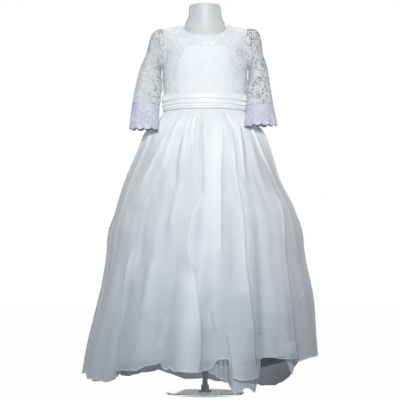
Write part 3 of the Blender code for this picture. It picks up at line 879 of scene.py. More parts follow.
@dataclass
class LaceWork:
    """Lays the lace's flowers, leaves and stems over a flat piece of net."""

    repeat_width: float = 0.056
    repeat_height: float = 0.064
    flower_radius: float = 0.0125
    rise: float = 0.0005

    def motifs(self) -> dict[str, Mesh]:
        """Build what the repeat is made of.

        Returns:
            The meshes by name.
        """
        radius = self.flower_radius
        return {
            "flower": petal_flower(radius, 5, self.rise * 1.3),
            "bud": petal_flower(radius * 0.32, 3, self.rise),
            "leaf": leaf(radius * 1.30, radius * 0.62, radius * 0.16, self.rise),
            "stem": leaf(radius * 1.7, radius * 0.17, radius * 0.75, self.rise * 0.8),
        }

    def scatter(self, width: float, length: float) -> bmesh.types.BMesh:
        """Lay flat repeats over a panel and trim them to its edges.

        Args:
            width: The flat panel's width in metres.
            length: Its length in metres.

        Returns:
            The flat motifs.
        """
        meshes = self.motifs()
        bm = bmesh.new()
        columns = math.ceil(width / self.repeat_width) + 1
        rows = math.ceil(length / self.repeat_height) + 1
        for column, row in np.ndindex(columns, rows):
            for number, sprig in enumerate(LACE_REPEAT):
                shift = 0.5 * (column % 2)
                x = (column + sprig.across - 0.5) * self.repeat_width
                y = (row + sprig.up + shift - 1.0) * self.repeat_height
                if not (0 <= x <= width and 0 <= y <= length):
                    continue
                sway = 25 * math.sin(2.3 * column + 3.7 * row + 1.9 * number)
                placed = (
                    Matrix.Translation((x, y, 0))
                    @ Matrix.Rotation(math.radians(sprig.turn + sway), 4, "Z")
                    @ Matrix.Scale(sprig.size, 4)
                )
                before = len(bm.verts)
                bm.from_mesh(meshes[sprig.mesh])
                bm.verts.ensure_lookup_table()
                bmesh.ops.transform(bm, matrix=placed, verts=bm.verts[before:])
        cuts = (((0, 0), (-1, 0)), ((width, 0), (1, 0)), ((0, 0), (0, -1)), ((0, length), (0, 1)))
        for cut, away in cuts:
            bmesh.ops.bisect_plane(
                bm, geom=bm.verts[:] + bm.edges[:] + bm.faces[:], dist=MERGE,
                plane_co=(*cut, 0), plane_no=(*away, 0), clear_outer=True,
            )
        return bm

    def lay(
        self, name: str, width: float, length: float, carry: Callable[[Array], tuple[Array, Array]]
    ) -> Piece:
        """Build the worked motifs of one panel as one mesh.

        Args:
            name: The piece's name.
            width: The flat panel's width in metres.
            length: The flat panel's length in metres.
            carry: Takes flat points and gives their place and outward normal on the panel;
                a point off the panel gives not-a-number.

        Returns:
            The finished motifs.
        """
        bm = self.scatter(width, length)
        flat = np.array([vert.co for vert in bm.verts])
        places, normals = carry(flat[:, :2])
        lost = []
        for vert, place, normal, height in zip(bm.verts, places, normals, flat[:, 2]):
            if np.isnan(place[0]):
                lost.append(vert)
            else:
                vert.co = place + normal * height
        bmesh.ops.delete(bm, geom=lost, context="VERTS")
        loose = [vert for vert in bm.verts if not vert.link_faces]
        bmesh.ops.delete(bm, geom=loose, context="VERTS")
        return finish_mesh(bm, name)


# ---------------------------------------------------------------- bodice


class SideRow(NamedTuple):
    """A point of the side seam."""

    x: float
    z: float


class BodiceRow(NamedTuple):
    """A row of the bodice: its centre front and back, and how far it wraps the body."""

    row: float
    front_depth: float
    front_z: float
    back_depth: float
    back_z: float
    wrap: float


class Face(NamedTuple):
    """The front or the back of the bodice, and how its armhole is cut."""

    name: str
    sign: int
    armhole_depth: float
    armhole_inset: float


FRONT = Face("front", sign=-1, armhole_depth=0.050, armhole_inset=0.0135)
BACK = Face("back", sign=1, armhole_depth=0.053, armhole_inset=0.0100)
# Each panel's name and face, and where it starts and ends across the body
PANELS = (
    ("front", FRONT, -1.0, 1.0), ("back_left", BACK, 0.0, 1.0), ("back_right", BACK, -1.0, 0.0)
)

SIDE_SEAM = table(
    SideRow,
    (0.1250, 0.870), (0.1279, 0.908), (0.1310, 0.956), (0.1330, 1.008),
)
BODICE_ROWS = table(
    BodiceRow,
    (0, 0.0920, 0.870, 0.0850, 0.870, 90),
    (1, 0.0935, 0.908, 0.0865, 0.908, 90),
    (2, 0.0965, 0.946, 0.0900, 0.946, 90),
    (3, 0.0995, 0.984, 0.0945, 0.984, 90),
    (4, 0.1000, 1.008, 0.0960, 1.008, 80),
    (5, 0.0980, 1.034, 0.0965, 1.034, 70),
    (6, 0.0925, 1.058, 0.0945, 1.058, 62),
    (7, 0.0885, 1.070, 0.0910, 1.078, 60),
    (8, 0.0845, 1.080, 0.0860, 1.096, 61),
    (9, 0.0810, 1.087, 0.0800, 1.110, 65),
    (10, 0.0775, 1.092, 0.0730, 1.121, 71),
    (11, 0.0740, 1.097, 0.0660, 1.130, 78),
)
SIDE_ROWS = 3
ARMHOLE_ROWS = 6
SHOULDER_ROWS = 2
TOP_ROW = 11
EDGE_LIFT = 2.2
SHOULDER_TIP = (0.1335, 0.0, 1.132)
NECK_POINT = (0.0740, 0.0, 1.144)
ARMHOLE_CENTRE_Z = 1.0700
ARMHOLE_HALF_HEIGHT = 0.0620


def panel_edge(face: Face, row: Array) -> Array:
    """Return the left edge of a panel: its side seam, armhole and shoulder seam.

    Args:
        face: The front or the back.
        row: The bodice's rows, from 0 to TOP_ROW.

    Returns:
        The edge's points.
    """
    seam_y = face.sign * SEAM_GAP / 2
    steps = np.arange(len(SIDE_SEAM))
    side_x, side_z = (np.interp(row, steps, column) for column in zip(*SIDE_SEAM))
    share = np.clip((row - SIDE_ROWS) / ARMHOLE_ROWS, 0, 1)
    turn = math.pi * (1 - share)
    bulge = np.sin(turn)
    armhole = stack(
        mix(SIDE_SEAM[-1].x, SHOULDER_TIP[0], share) - face.armhole_inset * bulge**2,
        seam_y + face.sign * face.armhole_depth * bulge,
        ARMHOLE_CENTRE_Z + ARMHOLE_HALF_HEIGHT * np.cos(turn),
    )
    share = np.clip((row - SIDE_ROWS - ARMHOLE_ROWS) / SHOULDER_ROWS, 0, 1)
    x, z = (mix(SHOULDER_TIP[axis], NECK_POINT[axis], share) for axis in (0, 2))
    on_side = (row <= SIDE_ROWS)[..., None]
    on_armhole = (row <= SIDE_ROWS + ARMHOLE_ROWS)[..., None]
    return np.where(
        on_side, stack(side_x, seam_y, side_z), np.where(on_armhole, armhole, stack(x, seam_y, z))
    )


def alike(across: Array, row: Array) -> list[Array]:
    """Return two coordinates as arrays of one shape."""
    return np.broadcast_arrays(np.asarray(across, float), np.asarray(row, float))


def bodice_point(face: Face, across: Array, row: Array) -> Array:
    """Return points of the bodice's outer face.

    Args:
        face: The front or the back.
        across: From -1 at the right edge through 0 at the centre line to 1 at the left edge.
        row: From 0 at the waist to TOP_ROW at the neckline.

    Returns:
        The points.
    """
    across, row = alike(across, row)
    depth, centre_z, wrap = (
        read_curve(BODICE_ROWS, "row", column, row)
        for column in (f"{face.name}_depth", f"{face.name}_z", "wrap")
    )
    wrap = np.radians(wrap)
    edge = panel_edge(face, row)
    out = np.abs(across)
    round_share = (1 - np.cos(out * wrap)) / (1 - np.cos(wrap))
    return stack(
        np.sign(across) * edge[..., 0] * np.sin(out * wrap) / np.sin(wrap),
        mix(face.sign * depth, edge[..., 1], round_share),
        mix(centre_z, edge[..., 2], out**EDGE_LIFT),
    )


def bodice_normal(face: Face, across: Array, row: Array) -> Array:
    """Return outward directions of the bodice.

    Args:
        face: The front or the back.
        across: The places across the body, from -1 to 1.
        row: The bodice's rows.

    Returns:
        The unit normals.
    """
    across, row = alike(across, row)
    west, east = np.maximum(across - 0.02, -1), np.minimum(across + 0.02, 1)
    low, high = np.maximum(row - 0.2, 0), np.minimum(row + 0.2, TOP_ROW)
    along = bodice_point(face, east, row) - bodice_point(face, west, row)
    up = bodice_point(face, across, high) - bodice_point(face, across, low)
    return unit(np.cross(along, up) * -face.sign)


def under_bodice(face: Face, across: Array, row: Array, depth: Array) -> Array:
    """Return points that lie a depth inside the bodice's outer face."""
    depth = np.asarray(depth)[..., None]
    return bodice_point(face, across, row) - bodice_normal(face, across, row) * depth


def band_point(place: Array, row: Array) -> tuple[Array, Array]:
    """Return points and normals round the body for a band with its opening at the back.

    Args:
        place: From 0 at the left of the back opening, round by the front, to 1 at its right.
        row: The bodice's row.

    Returns:
        The points and the outward normals.
    """
    place, row = alike(place, row)
    front = ((place > 0.25) & (place < 0.75))[..., None]
    ahead = np.clip(1 - (place - 0.25) * 4, -1, 1)
    behind = np.clip(np.where(place <= 0.25, place * 4, (place - 1) * 4), -1, 1)
    points, normals = (
        np.where(front, read(FRONT, ahead, row), read(BACK, behind, row))
        for read in (bodice_point, bodice_normal)
    )
    return points, normals


@dataclass
class Bodice:
    """The lace bodice over its lining, with the neck binding, armhole seams and buttons."""

    wardrobe: Wardrobe
    net_columns: int = 72
    net_rows: int = 88
    chart_radius: float = 0.115
    fan_height: float = 1.020
    lining_widths: tuple[float, ...] = (1.0, 1.0, 1.0, 1.0, 0.90, 0.76, 0.66)
    panel_edge_across: float = 0.42
    panel_step: float = 0.0012
    lining_depth: float = 0.0016
    lining_columns: int = 96
    lining_rows: int = 60
    net_length: float = 0.29
    net_area_share: float = 0.85
    lining_length: float = 0.20
    lining_area_share: float = 0.9
    lining_cloth: float = 0.0005
    allowance_cloth: float = 0.0003
    seam_width: float = 0.010
    binding_radius: float = 0.0018
    seam_radius: float = 0.0011
    seam_depth: float = 0.0008
    seam_length: float = 0.135
    button_rows: tuple[float, ...] = (10.6, 8.3, 6.4, 4.6, 2.6)
    button_reach: float = 0.045
    button_radius: float = 0.0055
    button_height: float = 0.0042
    shank: float = 0.0008
    loop_radius: float = 0.0005
    loop_height: float = 0.0009

    def inside(self, point: Vector) -> Vector:
        """Return the point of the body's axis that a point of the bodice faces away from."""
        return Vector((0, 0, min(point.z, self.fan_height)))

    def chart(self, points: Array) -> Array:
        """Lay points of the bodice flat.

        Below the fan's height the chart is a cylinder, and above it a dome.

        Args:
            points: The points.

        Returns:
            Their flat coordinates in metres.
        """
        x, y, z = points[..., 0], points[..., 1], points[..., 2]
        tilt = np.arctan2(np.maximum(z - self.fan_height, 0), np.hypot(x, y))
        up = np.where(z < self.fan_height, z, self.fan_height + tilt * self.chart_radius)
        return stack(np.arctan2(x, -y) * self.chart_radius, up)

    def unchart(self, flat: Array) -> tuple[Array, Array]:
        """Return the rays that find flat coordinates on the bodice.

        Args:
            flat: The flat coordinates.

        Returns:
            The rays' starts and directions.
        """
        turn = flat[:, 0] / self.chart_radius
        tilt = np.maximum(flat[:, 1] - self.fan_height, 0) / self.chart_radius
        start = stack(0.0, 0.0, np.minimum(flat[:, 1], self.fan_height))
        return start, stack(
            np.sin(turn) * np.cos(tilt), -np.cos(turn) * np.cos(tilt), np.sin(tilt)
        )

    def lace_panel(self, part: str, face: Face, low: float, high: float) -> tuple[Piece, Piece]:
        """Build one net panel of the bodice with its worked flowers.

        Args:
            part: The panel's name, as in PANELS.
            face: The front or the back.
            low: Where the panel starts across the body.
            high: Where it ends.

        Returns:
            The net and its flowers.
        """
        name = f"bodice_{part}_net"
        columns = round(self.net_columns * (high - low) / 2) + 1
        across, row = np.meshgrid(
            np.linspace(low, high, columns), np.linspace(0, TOP_ROW, self.net_rows + 1)
        )
        points = under_bodice(face, across, row, LACE_WALL / 2)
        aside = np.abs(across) - self.panel_edge_across
        above = row - len(self.lining_widths) + 1
        backed = (1 - smoothstep(aside / 0.03)) * (1 - smoothstep(above / 0.25))
        low_down = 1 - smoothstep((row - 4.5) / 2.0)
        worked = 0.20 * backed - low_down * smoothstep((aside - 0.06) / 0.08)
        flat = self.chart(points)
        net = sheet_mesh(name, points, flat, self.inside, cover=worked)
        dress(net, self.wardrobe.net, Slot.LACE, f"bodice_{part}")
        tree = BVHTree.FromObject(net, bpy.context.evaluated_depsgraph_get())
        flat = flat.reshape(-1, 2)
        if face is BACK:
            flat[:, 0] += np.where(flat[:, 0] < -0.001, math.tau * self.chart_radius, 0.0)
        corner = flat.min(axis=0)
        width, length = (float(side) for side in flat.max(axis=0) - corner)

        def carry(spots: Array) -> tuple[Array, Array]:
            """Find flat points on the net by rays from the middle of the body.

            Args:
                spots: The flat points.

            Returns:
                Their places and outward normals; a miss isn't a number.
            """
            starts, ways = self.unchart(spots + corner)
            places = np.full((len(spots), 3), np.nan)
            outs = np.zeros((len(spots), 3))
            for i, (start, way) in enumerate(zip(starts, ways)):
                hit, normal, _, _ = tree.ray_cast(Vector(start), Vector(way))
                if hit is not None:
                    places[i] = hit
                    outs[i] = normal
            return places, outs

        flowers = LaceWork().lay(f"{name}_flowers", width, length, carry)
        return net, dress(flowers, self.wardrobe.thread, Slot.LACE)

    def lining_panel(self, part: str, face: Face, low: float, high: float) -> Piece:
        """Build one panel of the lining, with its straight top edge and its two front seams.

        Args:
            part: The panel's name, as in PANELS.
            face: The front or the back.
            low: Where the panel starts across the body.
            high: Where it ends.

        Returns:
            The lining.
        """
        columns = round(self.lining_columns * (high - low) / 2) + 1
        top = len(self.lining_widths) - 1
        across, row = np.meshgrid(
            np.linspace(low, high, columns), np.linspace(0, top, self.lining_rows + 1)
        )
        pulls = ripple(across * 0.6 + row * 0.9, (0.0003, 1.0, 0.1), (0.0002, 2.3, 0.4))
        across = across * np.interp(row, np.arange(top + 1), self.lining_widths)
        step = smoothstep((np.abs(across) - self.panel_edge_across) / 0.025)
        depth = self.lining_depth + self.panel_step * (step if face is FRONT else 1.0)
        points = under_bodice(face, across, row, depth - np.abs(pulls))
        piece = sheet_mesh(f"lining_{part}_cloth", points, self.chart(points), self.inside)
        add_wall(piece, self.lining_cloth)
        return dress(piece, self.wardrobe.lining, Slot.LINING, f"bodice_lining_{part}")

    def binding(self) -> None:
        """Build the round satin binding on the neckline's cut edge."""
        place = np.linspace(0.001, 0.999, 181)
        edge, normals = band_point(place, TOP_ROW)
        up = unit(edge - band_point(place, TOP_ROW - 0.5)[0])
        path = edge - normals * (LACE_WALL / 2) + up * self.binding_radius
        piece = tube_mesh("neck_binding_satin", path, self.binding_radius, 12, closed=False)
        dress(piece, self.wardrobe.seam, Slot.SATIN, "neck_binding")

    def armhole_seam(self, side: int, side_name: str) -> None:
        """Build the turned seam round an armhole: a cord on the edge and a flat allowance.

        Args:
            side: 1 on the left and -1 on the right.
            side_name: left or right.
        """
        path = armhole_ring(np.linspace(0, math.tau, 97)[:-1], side)
        cord = tube_mesh(f"armhole_seam_{side_name}", path, self.seam_radius, 8, closed=True)
        dress(cord, self.wardrobe.seam, Slot.LACE)
        share, row = np.meshgrid(
            np.linspace(0, 1, 5), np.linspace(SIDE_ROWS, SIDE_ROWS + ARMHOLE_ROWS, 61)
        )
        for face in (FRONT, BACK):
            across = side * (1 - share * self.seam_width / panel_edge(face, row)[..., 0])
            points = under_bodice(face, across, row, self.seam_depth)
            name = f"armhole_allowance_{side_name}_{face.name}"
            strip = sheet_mesh(name, points, self.chart(points))
            add_wall(strip, self.allowance_cloth)
            dress(strip, self.wardrobe.seam, Slot.LACE)

    def button(self, number: int, row: float) -> None:
        """Build a covered button as a spun outline, and set it on the left back panel.

        Args:
            number: The button's number, from the neck down.
            row: The bodice's row that it lies at.
        """
        half, radius = self.button_height / 2, self.button_radius
        outline = [(0.0, half)]
        outline += [
            (radius * math.sin(turn), half * math.cos(turn) ** 0.8)
            for turn in np.linspace(0.15, math.pi / 2, 8)
        ]
        outline += [(radius * 0.86, -half * 0.7), (radius * 0.5, -half), (0.0, -half)]
        bm = bmesh.new()
        verts = [bm.verts.new((x, 0, z)) for x, z in outline]
        edges = [bm.edges.new(pair) for pair in zip(verts, verts[1:])]
        bmesh.ops.spin(
            bm, geom=verts + edges, cent=(0, 0, 0), axis=(0, 0, 1),
            angle=math.tau, steps=28, use_merge=True,
        )
        close_up(bm)
        normal = Vector(bodice_normal(BACK, self.button_reach, row))
        place = Vector(bodice_point(BACK, self.button_reach, row)) + normal * (half + self.shank)
        turn = normal.to_track_quat("Z", "Y").to_matrix().to_4x4()
        bmesh.ops.transform(bm, matrix=Matrix.Translation(place) @ turn, verts=bm.verts)
        piece = finish_mesh(bm, f"button_cover_{number}")
        uv = piece.data.uv_layers.new(name=CLOTH_UV)
        for loop in piece.data.loops:
            spot = piece.data.vertices[loop.vertex_index].co
            uv.data[loop.index].uv = (spot.x, spot.z)
        dress(piece, self.wardrobe.satin, Slot.SATIN, f"button_{number}")

    def loop(self, number: int, row: float) -> None:
        """Build the thread loop from the right back panel round a button's shank.

        Args:
            number: The button's number.
            row: The bodice's row that it lies at.
        """
        turn = np.linspace(-2.4, 2.4, 25)
        reach = self.button_reach * 0.5
        across = reach + (reach * 0.9 + 0.01) * np.cos(turn)
        path = under_bodice(BACK, across, row + 0.17 * np.sin(turn), -self.loop_height)
        piece = tube_mesh(f"button_loop_{number}", path, self.loop_radius, 6, closed=False)
        dress(piece, self.wardrobe.thread, Slot.SATIN)

    def build(self) -> None:
        """Build every piece of the bodice."""
        for part, face, low, high in PANELS:
            net, flowers = self.lace_panel(part, face, low, high)
        for part, face, low, high in PANELS:
            piece = self.lining_panel(part, face, low, high)
        self.binding()
        for side, side_name in SIDES:
            self.armhole_seam(side, side_name)
        for number, row in enumerate(self.button_rows, start=1):
            self.button(number, row)
            self.loop(number, row)


class PleatLine(NamedTuple):
    """A line of the sash: how far up its height, and how far proud of the bodice."""

    up: float
    proud: float


PLEAT_LINES = table(
    PleatLine,
    (0.000, 0.0020), (0.015, 0.0050), (0.110, 0.0044), (0.128, 0.0012), (0.150, 0.0056), (0.230, 0.0050),
    (0.290, 0.0044), (0.308, 0.0012), (0.332, 0.0064), (0.450, 0.0056), (0.572, 0.0046), (0.592, 0.0012),
    (0.618, 0.0066), (0.780, 0.0058), (0.940, 0.0044), (1.000, 0.0016),
)


@dataclass
class Sash:
    """The satin sash: three broad soft pleats and a narrow one, open at the centre back."""

    wardrobe: Wardrobe
    bottom_row: float = 0.015
    top_row: float = 1.30
    columns: int = 300
    rows: int = 120
    cloth: float = 0.0006
    width: float = 0.72
    height: float = 0.075
    pattern_width: float = 0.70

    def build(self) -> None:
        """Build the sash."""
        place, up = np.meshgrid(
            np.linspace(0.0008, 0.9992, self.columns + 1), np.linspace(0, 1, self.rows + 1)
        )
        inner = up * (1 - up) * 4
        wander = ripple(place, (0.016, 3.0, 0.15), (0.012, 5.0, 0.6), (0.006, 11.0, 0.3))
        proud = read_curve(PLEAT_LINES, "up", "proud", np.clip(up + wander * inner, 0, 1))
        soft = ripple(place * 1.3 + up * 0.4, (0.00018, 9.0, 0.2), (0.00012, 17.0, 0.7))
        points, normals = band_point(place, mix(self.bottom_row, self.top_row, up))
        points = points + normals * (proud + soft * inner)[..., None]
        flat = flat_grid(self.rows + 1, self.columns + 1, self.pattern_width, self.height)
        piece = sheet_mesh("sash_satin", points, flat)
        add_wall(piece, self.cloth)
        dress(piece, self.wardrobe.satin, Slot.SATIN, "sash")


# ---------------------------------------------------------------- sleeves


class SleeveRing(NamedTuple):
    """A ring of a sleeve, through an outer and an inner point, in a plane along Y."""

    outer_x: float
    outer_z: float
    inner_x: float
    inner_z: float
    centre_y: float
    half_depth: float


SLEEVE_LEFT = table(
    SleeveRing,
    (0.1545, 1.1315, 0.1352, 1.003, -0.001, 0.052),
    (0.1700, 1.1165, 0.1354, 0.996, -0.003, 0.053),
    (0.1765, 1.0890, 0.1350, 0.986, -0.007, 0.053),
    (0.1825, 1.0450, 0.1330, 0.970, -0.015, 0.051),
    (0.1935, 0.9990, 0.1285, 0.945, -0.034, 0.045),
    (0.2000, 0.9480, 0.1268, 0.915, -0.058, 0.039),
    (0.2085, 0.8840, 0.1262, 0.880, -0.082, 0.034),
)
SLEEVE_RIGHT = table(
    SleeveRing,
    (0.1530, 1.1280, 0.1352, 1.003, -0.001, 0.052),
    (0.1675, 1.1120, 0.1354, 0.996, -0.003, 0.053),
    (0.1755, 1.0840, 0.1350, 0.986, -0.007, 0.053),
    (0.1860, 1.0450, 0.1332, 0.970, -0.015, 0.051),
    (0.2015, 0.9990, 0.1305, 0.945, -0.034, 0.045),
    (0.2130, 0.9480, 0.1340, 0.915, -0.058, 0.039),
    (0.2230, 0.8840, 0.1380, 0.880, -0.082, 0.034),
)
CUFF_LEFT = table(
    SleeveRing,
    (0.2086, 0.8830, 0.1259, 0.879, -0.0823, 0.0342),
    (0.2135, 0.8500, 0.1230, 0.848, -0.0910, 0.0330),
    (0.2180, 0.8230, 0.1205, 0.821, -0.0980, 0.0320),
)
CUFF_RIGHT = table(
    SleeveRing,
    (0.2231, 0.8830, 0.1379, 0.879, -0.0823, 0.0342),
    (0.2275, 0.8470, 0.1383, 0.844, -0.0920, 0.0330),
    (0.2315, 0.8110, 0.1385, 0.809, -0.0990, 0.0320),
)


def ring_points(ring: SleeveRing, side: int, turn: Array) -> Array:
    """Return a sleeve ring's points.

    Args:
        ring: The ring.
        side: 1 on the left and -1 on the right.
        turn: The angles, from its top round by the front.

    Returns:
        The points.
    """
    outer = np.array((ring.outer_x, ring.centre_y, ring.outer_z))
    inner = np.array((ring.inner_x, ring.centre_y, ring.inner_z))
    depth = np.array((0, -ring.half_depth, 0))
    around = (outer - inner) / 2 * np.cos(turn)[..., None] + depth * np.sin(turn)[..., None]
    return ((outer + inner) / 2 + around) * (side, 1, 1)


def armhole_ring(turn: Array, side: int) -> Array:
    """Return the sleeve's upper edge, just clear of the armhole.

    Args:
        turn: The angles, from its top round by the front.
        side: 1 on the left and -1 on the right.

    Returns:
        The points.
    """
    front = panel_edge(FRONT, SIDE_ROWS + ARMHOLE_ROWS * (1 - turn / math.pi))
    back = panel_edge(BACK, SIDE_ROWS + ARMHOLE_ROWS * (turn / math.pi - 1))
    points = np.where((turn <= math.pi)[..., None], front, back) + (0.0005, 0, 0)
    return points * (side, 1, 1)


@dataclass
class Sleeves:
    """The elbow-length lace sleeves with their scalloped lace cuffs."""

    wardrobe: Wardrobe
    columns: int = 96
    steps: int = 9
    girth: float = 0.270
    length: float = 0.235
    cuff_steps: int = 12
    cuff_girth: float = 0.262
    cuff_length: float = 0.066
    scallops: int = 12
    scallop_drop: float = 0.007
    edge_radius: float = 0.0007
    sleeve_flat: tuple[float, float] = (0.30, 0.26)
    sleeve_area: float = 0.065
    cuff_flat: tuple[float, float] = (0.27, 0.070)

    def creases(self, turn: Array, share: Array, side: int) -> Array:
        """Return how far the sleeve's soft creases stand out.

        Args:
            turn: The angle round the sleeve.
            share: From 0 at the armhole to 1 at the cuff.
            side: 1 on the left and -1 on the right.

        Returns:
            The distance along the normal, in metres.
        """
        depth, place, width = (0.0016, 0.9, 0.25) if side > 0 else (0.0030, 1.25, 0.22)
        long_crease = depth * bell((turn - place) / width)
        rings = 0.0010 * np.sin(share * 34 + 1.3 * np.sin(turn + side)) * np.sin(turn * 1.5) ** 2
        elbow = 0.0014 * bell((share - 0.62) / 0.10) * np.sin(turn * 3 + share * 20)
        return smoothstep(share / 0.25) * (rings + elbow - long_crease)

    def stand_out(self, points: Array, rise: Array) -> tuple[Array, Array, Array]:
        """Move a tube's points out by a rise, with its lace wall's middle on its solid's.

        Args:
            points: The tube's rings; the last point of each lies on its first.
            rise: How far each point moves out.

        Returns:
            The moved points, their outward normals and the rings' middles.
        """
        middles = points[:, :-1].mean(axis=1, keepdims=True)
        normals = outward(points, middles)
        normals[:, -1] = normals[:, 0]
        points = points + normals * (rise - LACE_WALL / 2)[..., None]
        points[:, -1] = points[:, 0]
        return points, normals, middles[:, 0]

    def flowers(
        self, name: str, points: Array, normals: Array, width: float, length: float
    ) -> Piece:
        """Lay worked flowers over a tube by its own flat coordinates.

        Args:
            name: The piece's name.
            points: The tube's points.
            normals: Their outward normals.
            width: The flat tube's width in metres.
            length: Its length in metres.

        Returns:
            The finished flowers.
        """
        rows, columns = points.shape[:2]

        def carry(spots: Array) -> tuple[Array, Array]:
            """Find flat points on the tube's grid.

            Args:
                spots: The flat points.

            Returns:
                Their places and outward normals.
            """
            column = np.clip(spots[:, 0] / width * (columns - 1), 0, columns - 1.001)
            row = np.clip(spots[:, 1] / length * (rows - 1), 0, rows - 1.001)
            c, r = column.astype(int), row.astype(int)
            a, b = (column - c)[:, None], (row - r)[:, None]

            def blend(grid: Array) -> Array:
                """Read a grid between its points."""
                near = mix(grid[r, c], grid[r, c + 1], a)
                far = mix(grid[r + 1, c], grid[r + 1, c + 1], a)
                return mix(near, far, b)

            return blend(points), unit(blend(normals))

        work = LaceWork(repeat_width=0.042, repeat_height=0.047, flower_radius=0.0086)
        return work.lay(name, width, length, carry)

    def sleeve(self, side: int, side_name: str, rings: tuple[SleeveRing, ...]) -> None:
        """Build one lace sleeve as a see-through tube with worked flowers.

        Args:
            side: 1 on the left and -1 on the right.
            side_name: left or right.
            rings: The sleeve's rings below the armhole.
        """
        name = f"sleeve_{side_name}"
        turn = np.linspace(0, math.tau, self.columns + 1)
        cage = np.array([armhole_ring(turn, side)] + [ring_points(r, side, turn) for r in rings])
        points = refine(cage, self.steps)
        points[:, -1] = points[:, 0]
        rows = len(points)
        turns, shares = np.meshgrid(turn, np.linspace(0, 1, rows))
        points, normals, middles = self.stand_out(points, self.creases(turns, shares, side))

        def inside(point: Vector) -> Vector:
            """Return the sleeve's middle at a point's height."""
            return Vector(middles[np.argmin(np.abs(middles[:, 2] - point.z))])

        plain = smoothstep(shares * 2.4) * smoothstep(np.cos(turns) * 1.5 + 0.6)
        open_work = 0.75 * plain * (side < 0) - 1
        flat = flat_grid(rows, self.columns + 1, self.girth, self.length)
        net = sheet_mesh(f"{name}_net", points, flat, inside, joined=True, cover=open_work)
        dress(net, self.wardrobe.shaded_sleeve_net, Slot.LACE, name)
        flowers = self.flowers(f"{name}_flowers", points, normals, self.girth, self.length)
        dress(flowers, self.wardrobe.shaded_sleeve_thread, Slot.LACE)

    def cuff(self, side: int, side_name: str, rings: tuple[SleeveRing, ...]) -> None:
        """Build one flared cuff with a scalloped lower edge.

        Args:
            side: 1 on the left and -1 on the right.
            side_name: left or right.
            rings: The cuff's rings, from its seam down.
        """
        name = f"cuff_{side_name}"
        turn = np.linspace(0, math.tau, 2 * self.columns + 1)
        cage = np.array([ring_points(ring, side, turn) for ring in rings])
        points = refine(cage, self.cuff_steps)
        turns, shares = np.meshgrid(turn, np.linspace(0, 1, len(points)))
        arch = np.abs(np.sin(turns * self.scallops / 2)) ** 0.7
        points[..., 2] -= self.scallop_drop * arch * smoothstep(shares * 1.1)
        flare = (0.0020 * np.sin(turns * 4 + side) + 0.0010 * np.sin(turns * 7)) * shares
        points, normals, _ = self.stand_out(points, flare)
        flat = flat_grid(len(points), len(turn), self.cuff_girth, self.cuff_length)
        centre = Vector(points[:, :-1].mean(axis=(0, 1)))
        net = sheet_mesh(f"{name}_net", points, flat, lambda point: centre, joined=True)
        dress(net, self.wardrobe.cuff_net, Slot.CUFF, f"cuff_lace_{side_name}")
        size = (self.cuff_girth, self.cuff_length)
        flowers = self.flowers(f"{name}_flowers", points, normals, *size)
        dress(flowers, self.wardrobe.cuff_thread, Slot.CUFF)
        edge = tube_mesh(f"{name}_edge", points[-1, :-1], self.edge_radius, 6, closed=True)
        dress(edge, self.wardrobe.thread, Slot.CUFF)

    def build(self) -> None:
        """Build both sleeves and both cuffs."""
        rings = ((SLEEVE_LEFT, CUFF_LEFT), (SLEEVE_RIGHT, CUFF_RIGHT))
        for (side, side_name), (sleeve_rings, cuff_rings) in zip(SIDES, rings):
            self.sleeve(side, side_name, sleeve_rings)
            self.cuff(side, side_name, cuff_rings)


# ---------------------------------------------------------------- skirt


class SkirtSection(NamedTuple):
    """Half-widths and half-depths of the outer skirt at a height."""

    z: float
    right: float
    left: float
    front: float
    back: float


class Fold(NamedTuple):
    """A fold that grows towards the hem: its place and half-width in degrees, its depth, where it
    has faded out, and how far its top lies to the side."""

    angle: float
    half_width: float
    depth: float
    top: float
    drift: float


class Crease(NamedTuple):
    """A narrow ridge or trough along a bent line.

    The line runs through three places, each an angle and a height. cover is how much denser the
    cloth lies on it.
    """

    top_angle: float
    top_z: float
    middle_angle: float
    middle_z: float
    foot_angle: float
    foot_z: float
    half_width: float
    depth: float
    cover: float


class Overlap(NamedTuple):
    """The free edge of a broad fold that lies over its neighbour.

    The edge runs through three places, each an angle and a height. The fold lies on its lower
    angles where side is -1 and on its higher angles where side is 1, and dies away over width.
    """

    top_angle: float
    top_z: float
    middle_angle: float
    middle_z: float
    foot_angle: float
    foot_z: float
    side: int
    width: float
    depth: float
    cover: float


class HemPoint(NamedTuple):
    """The hem's height over the floor at an angle round the skirt."""

    angle: float
    z: float


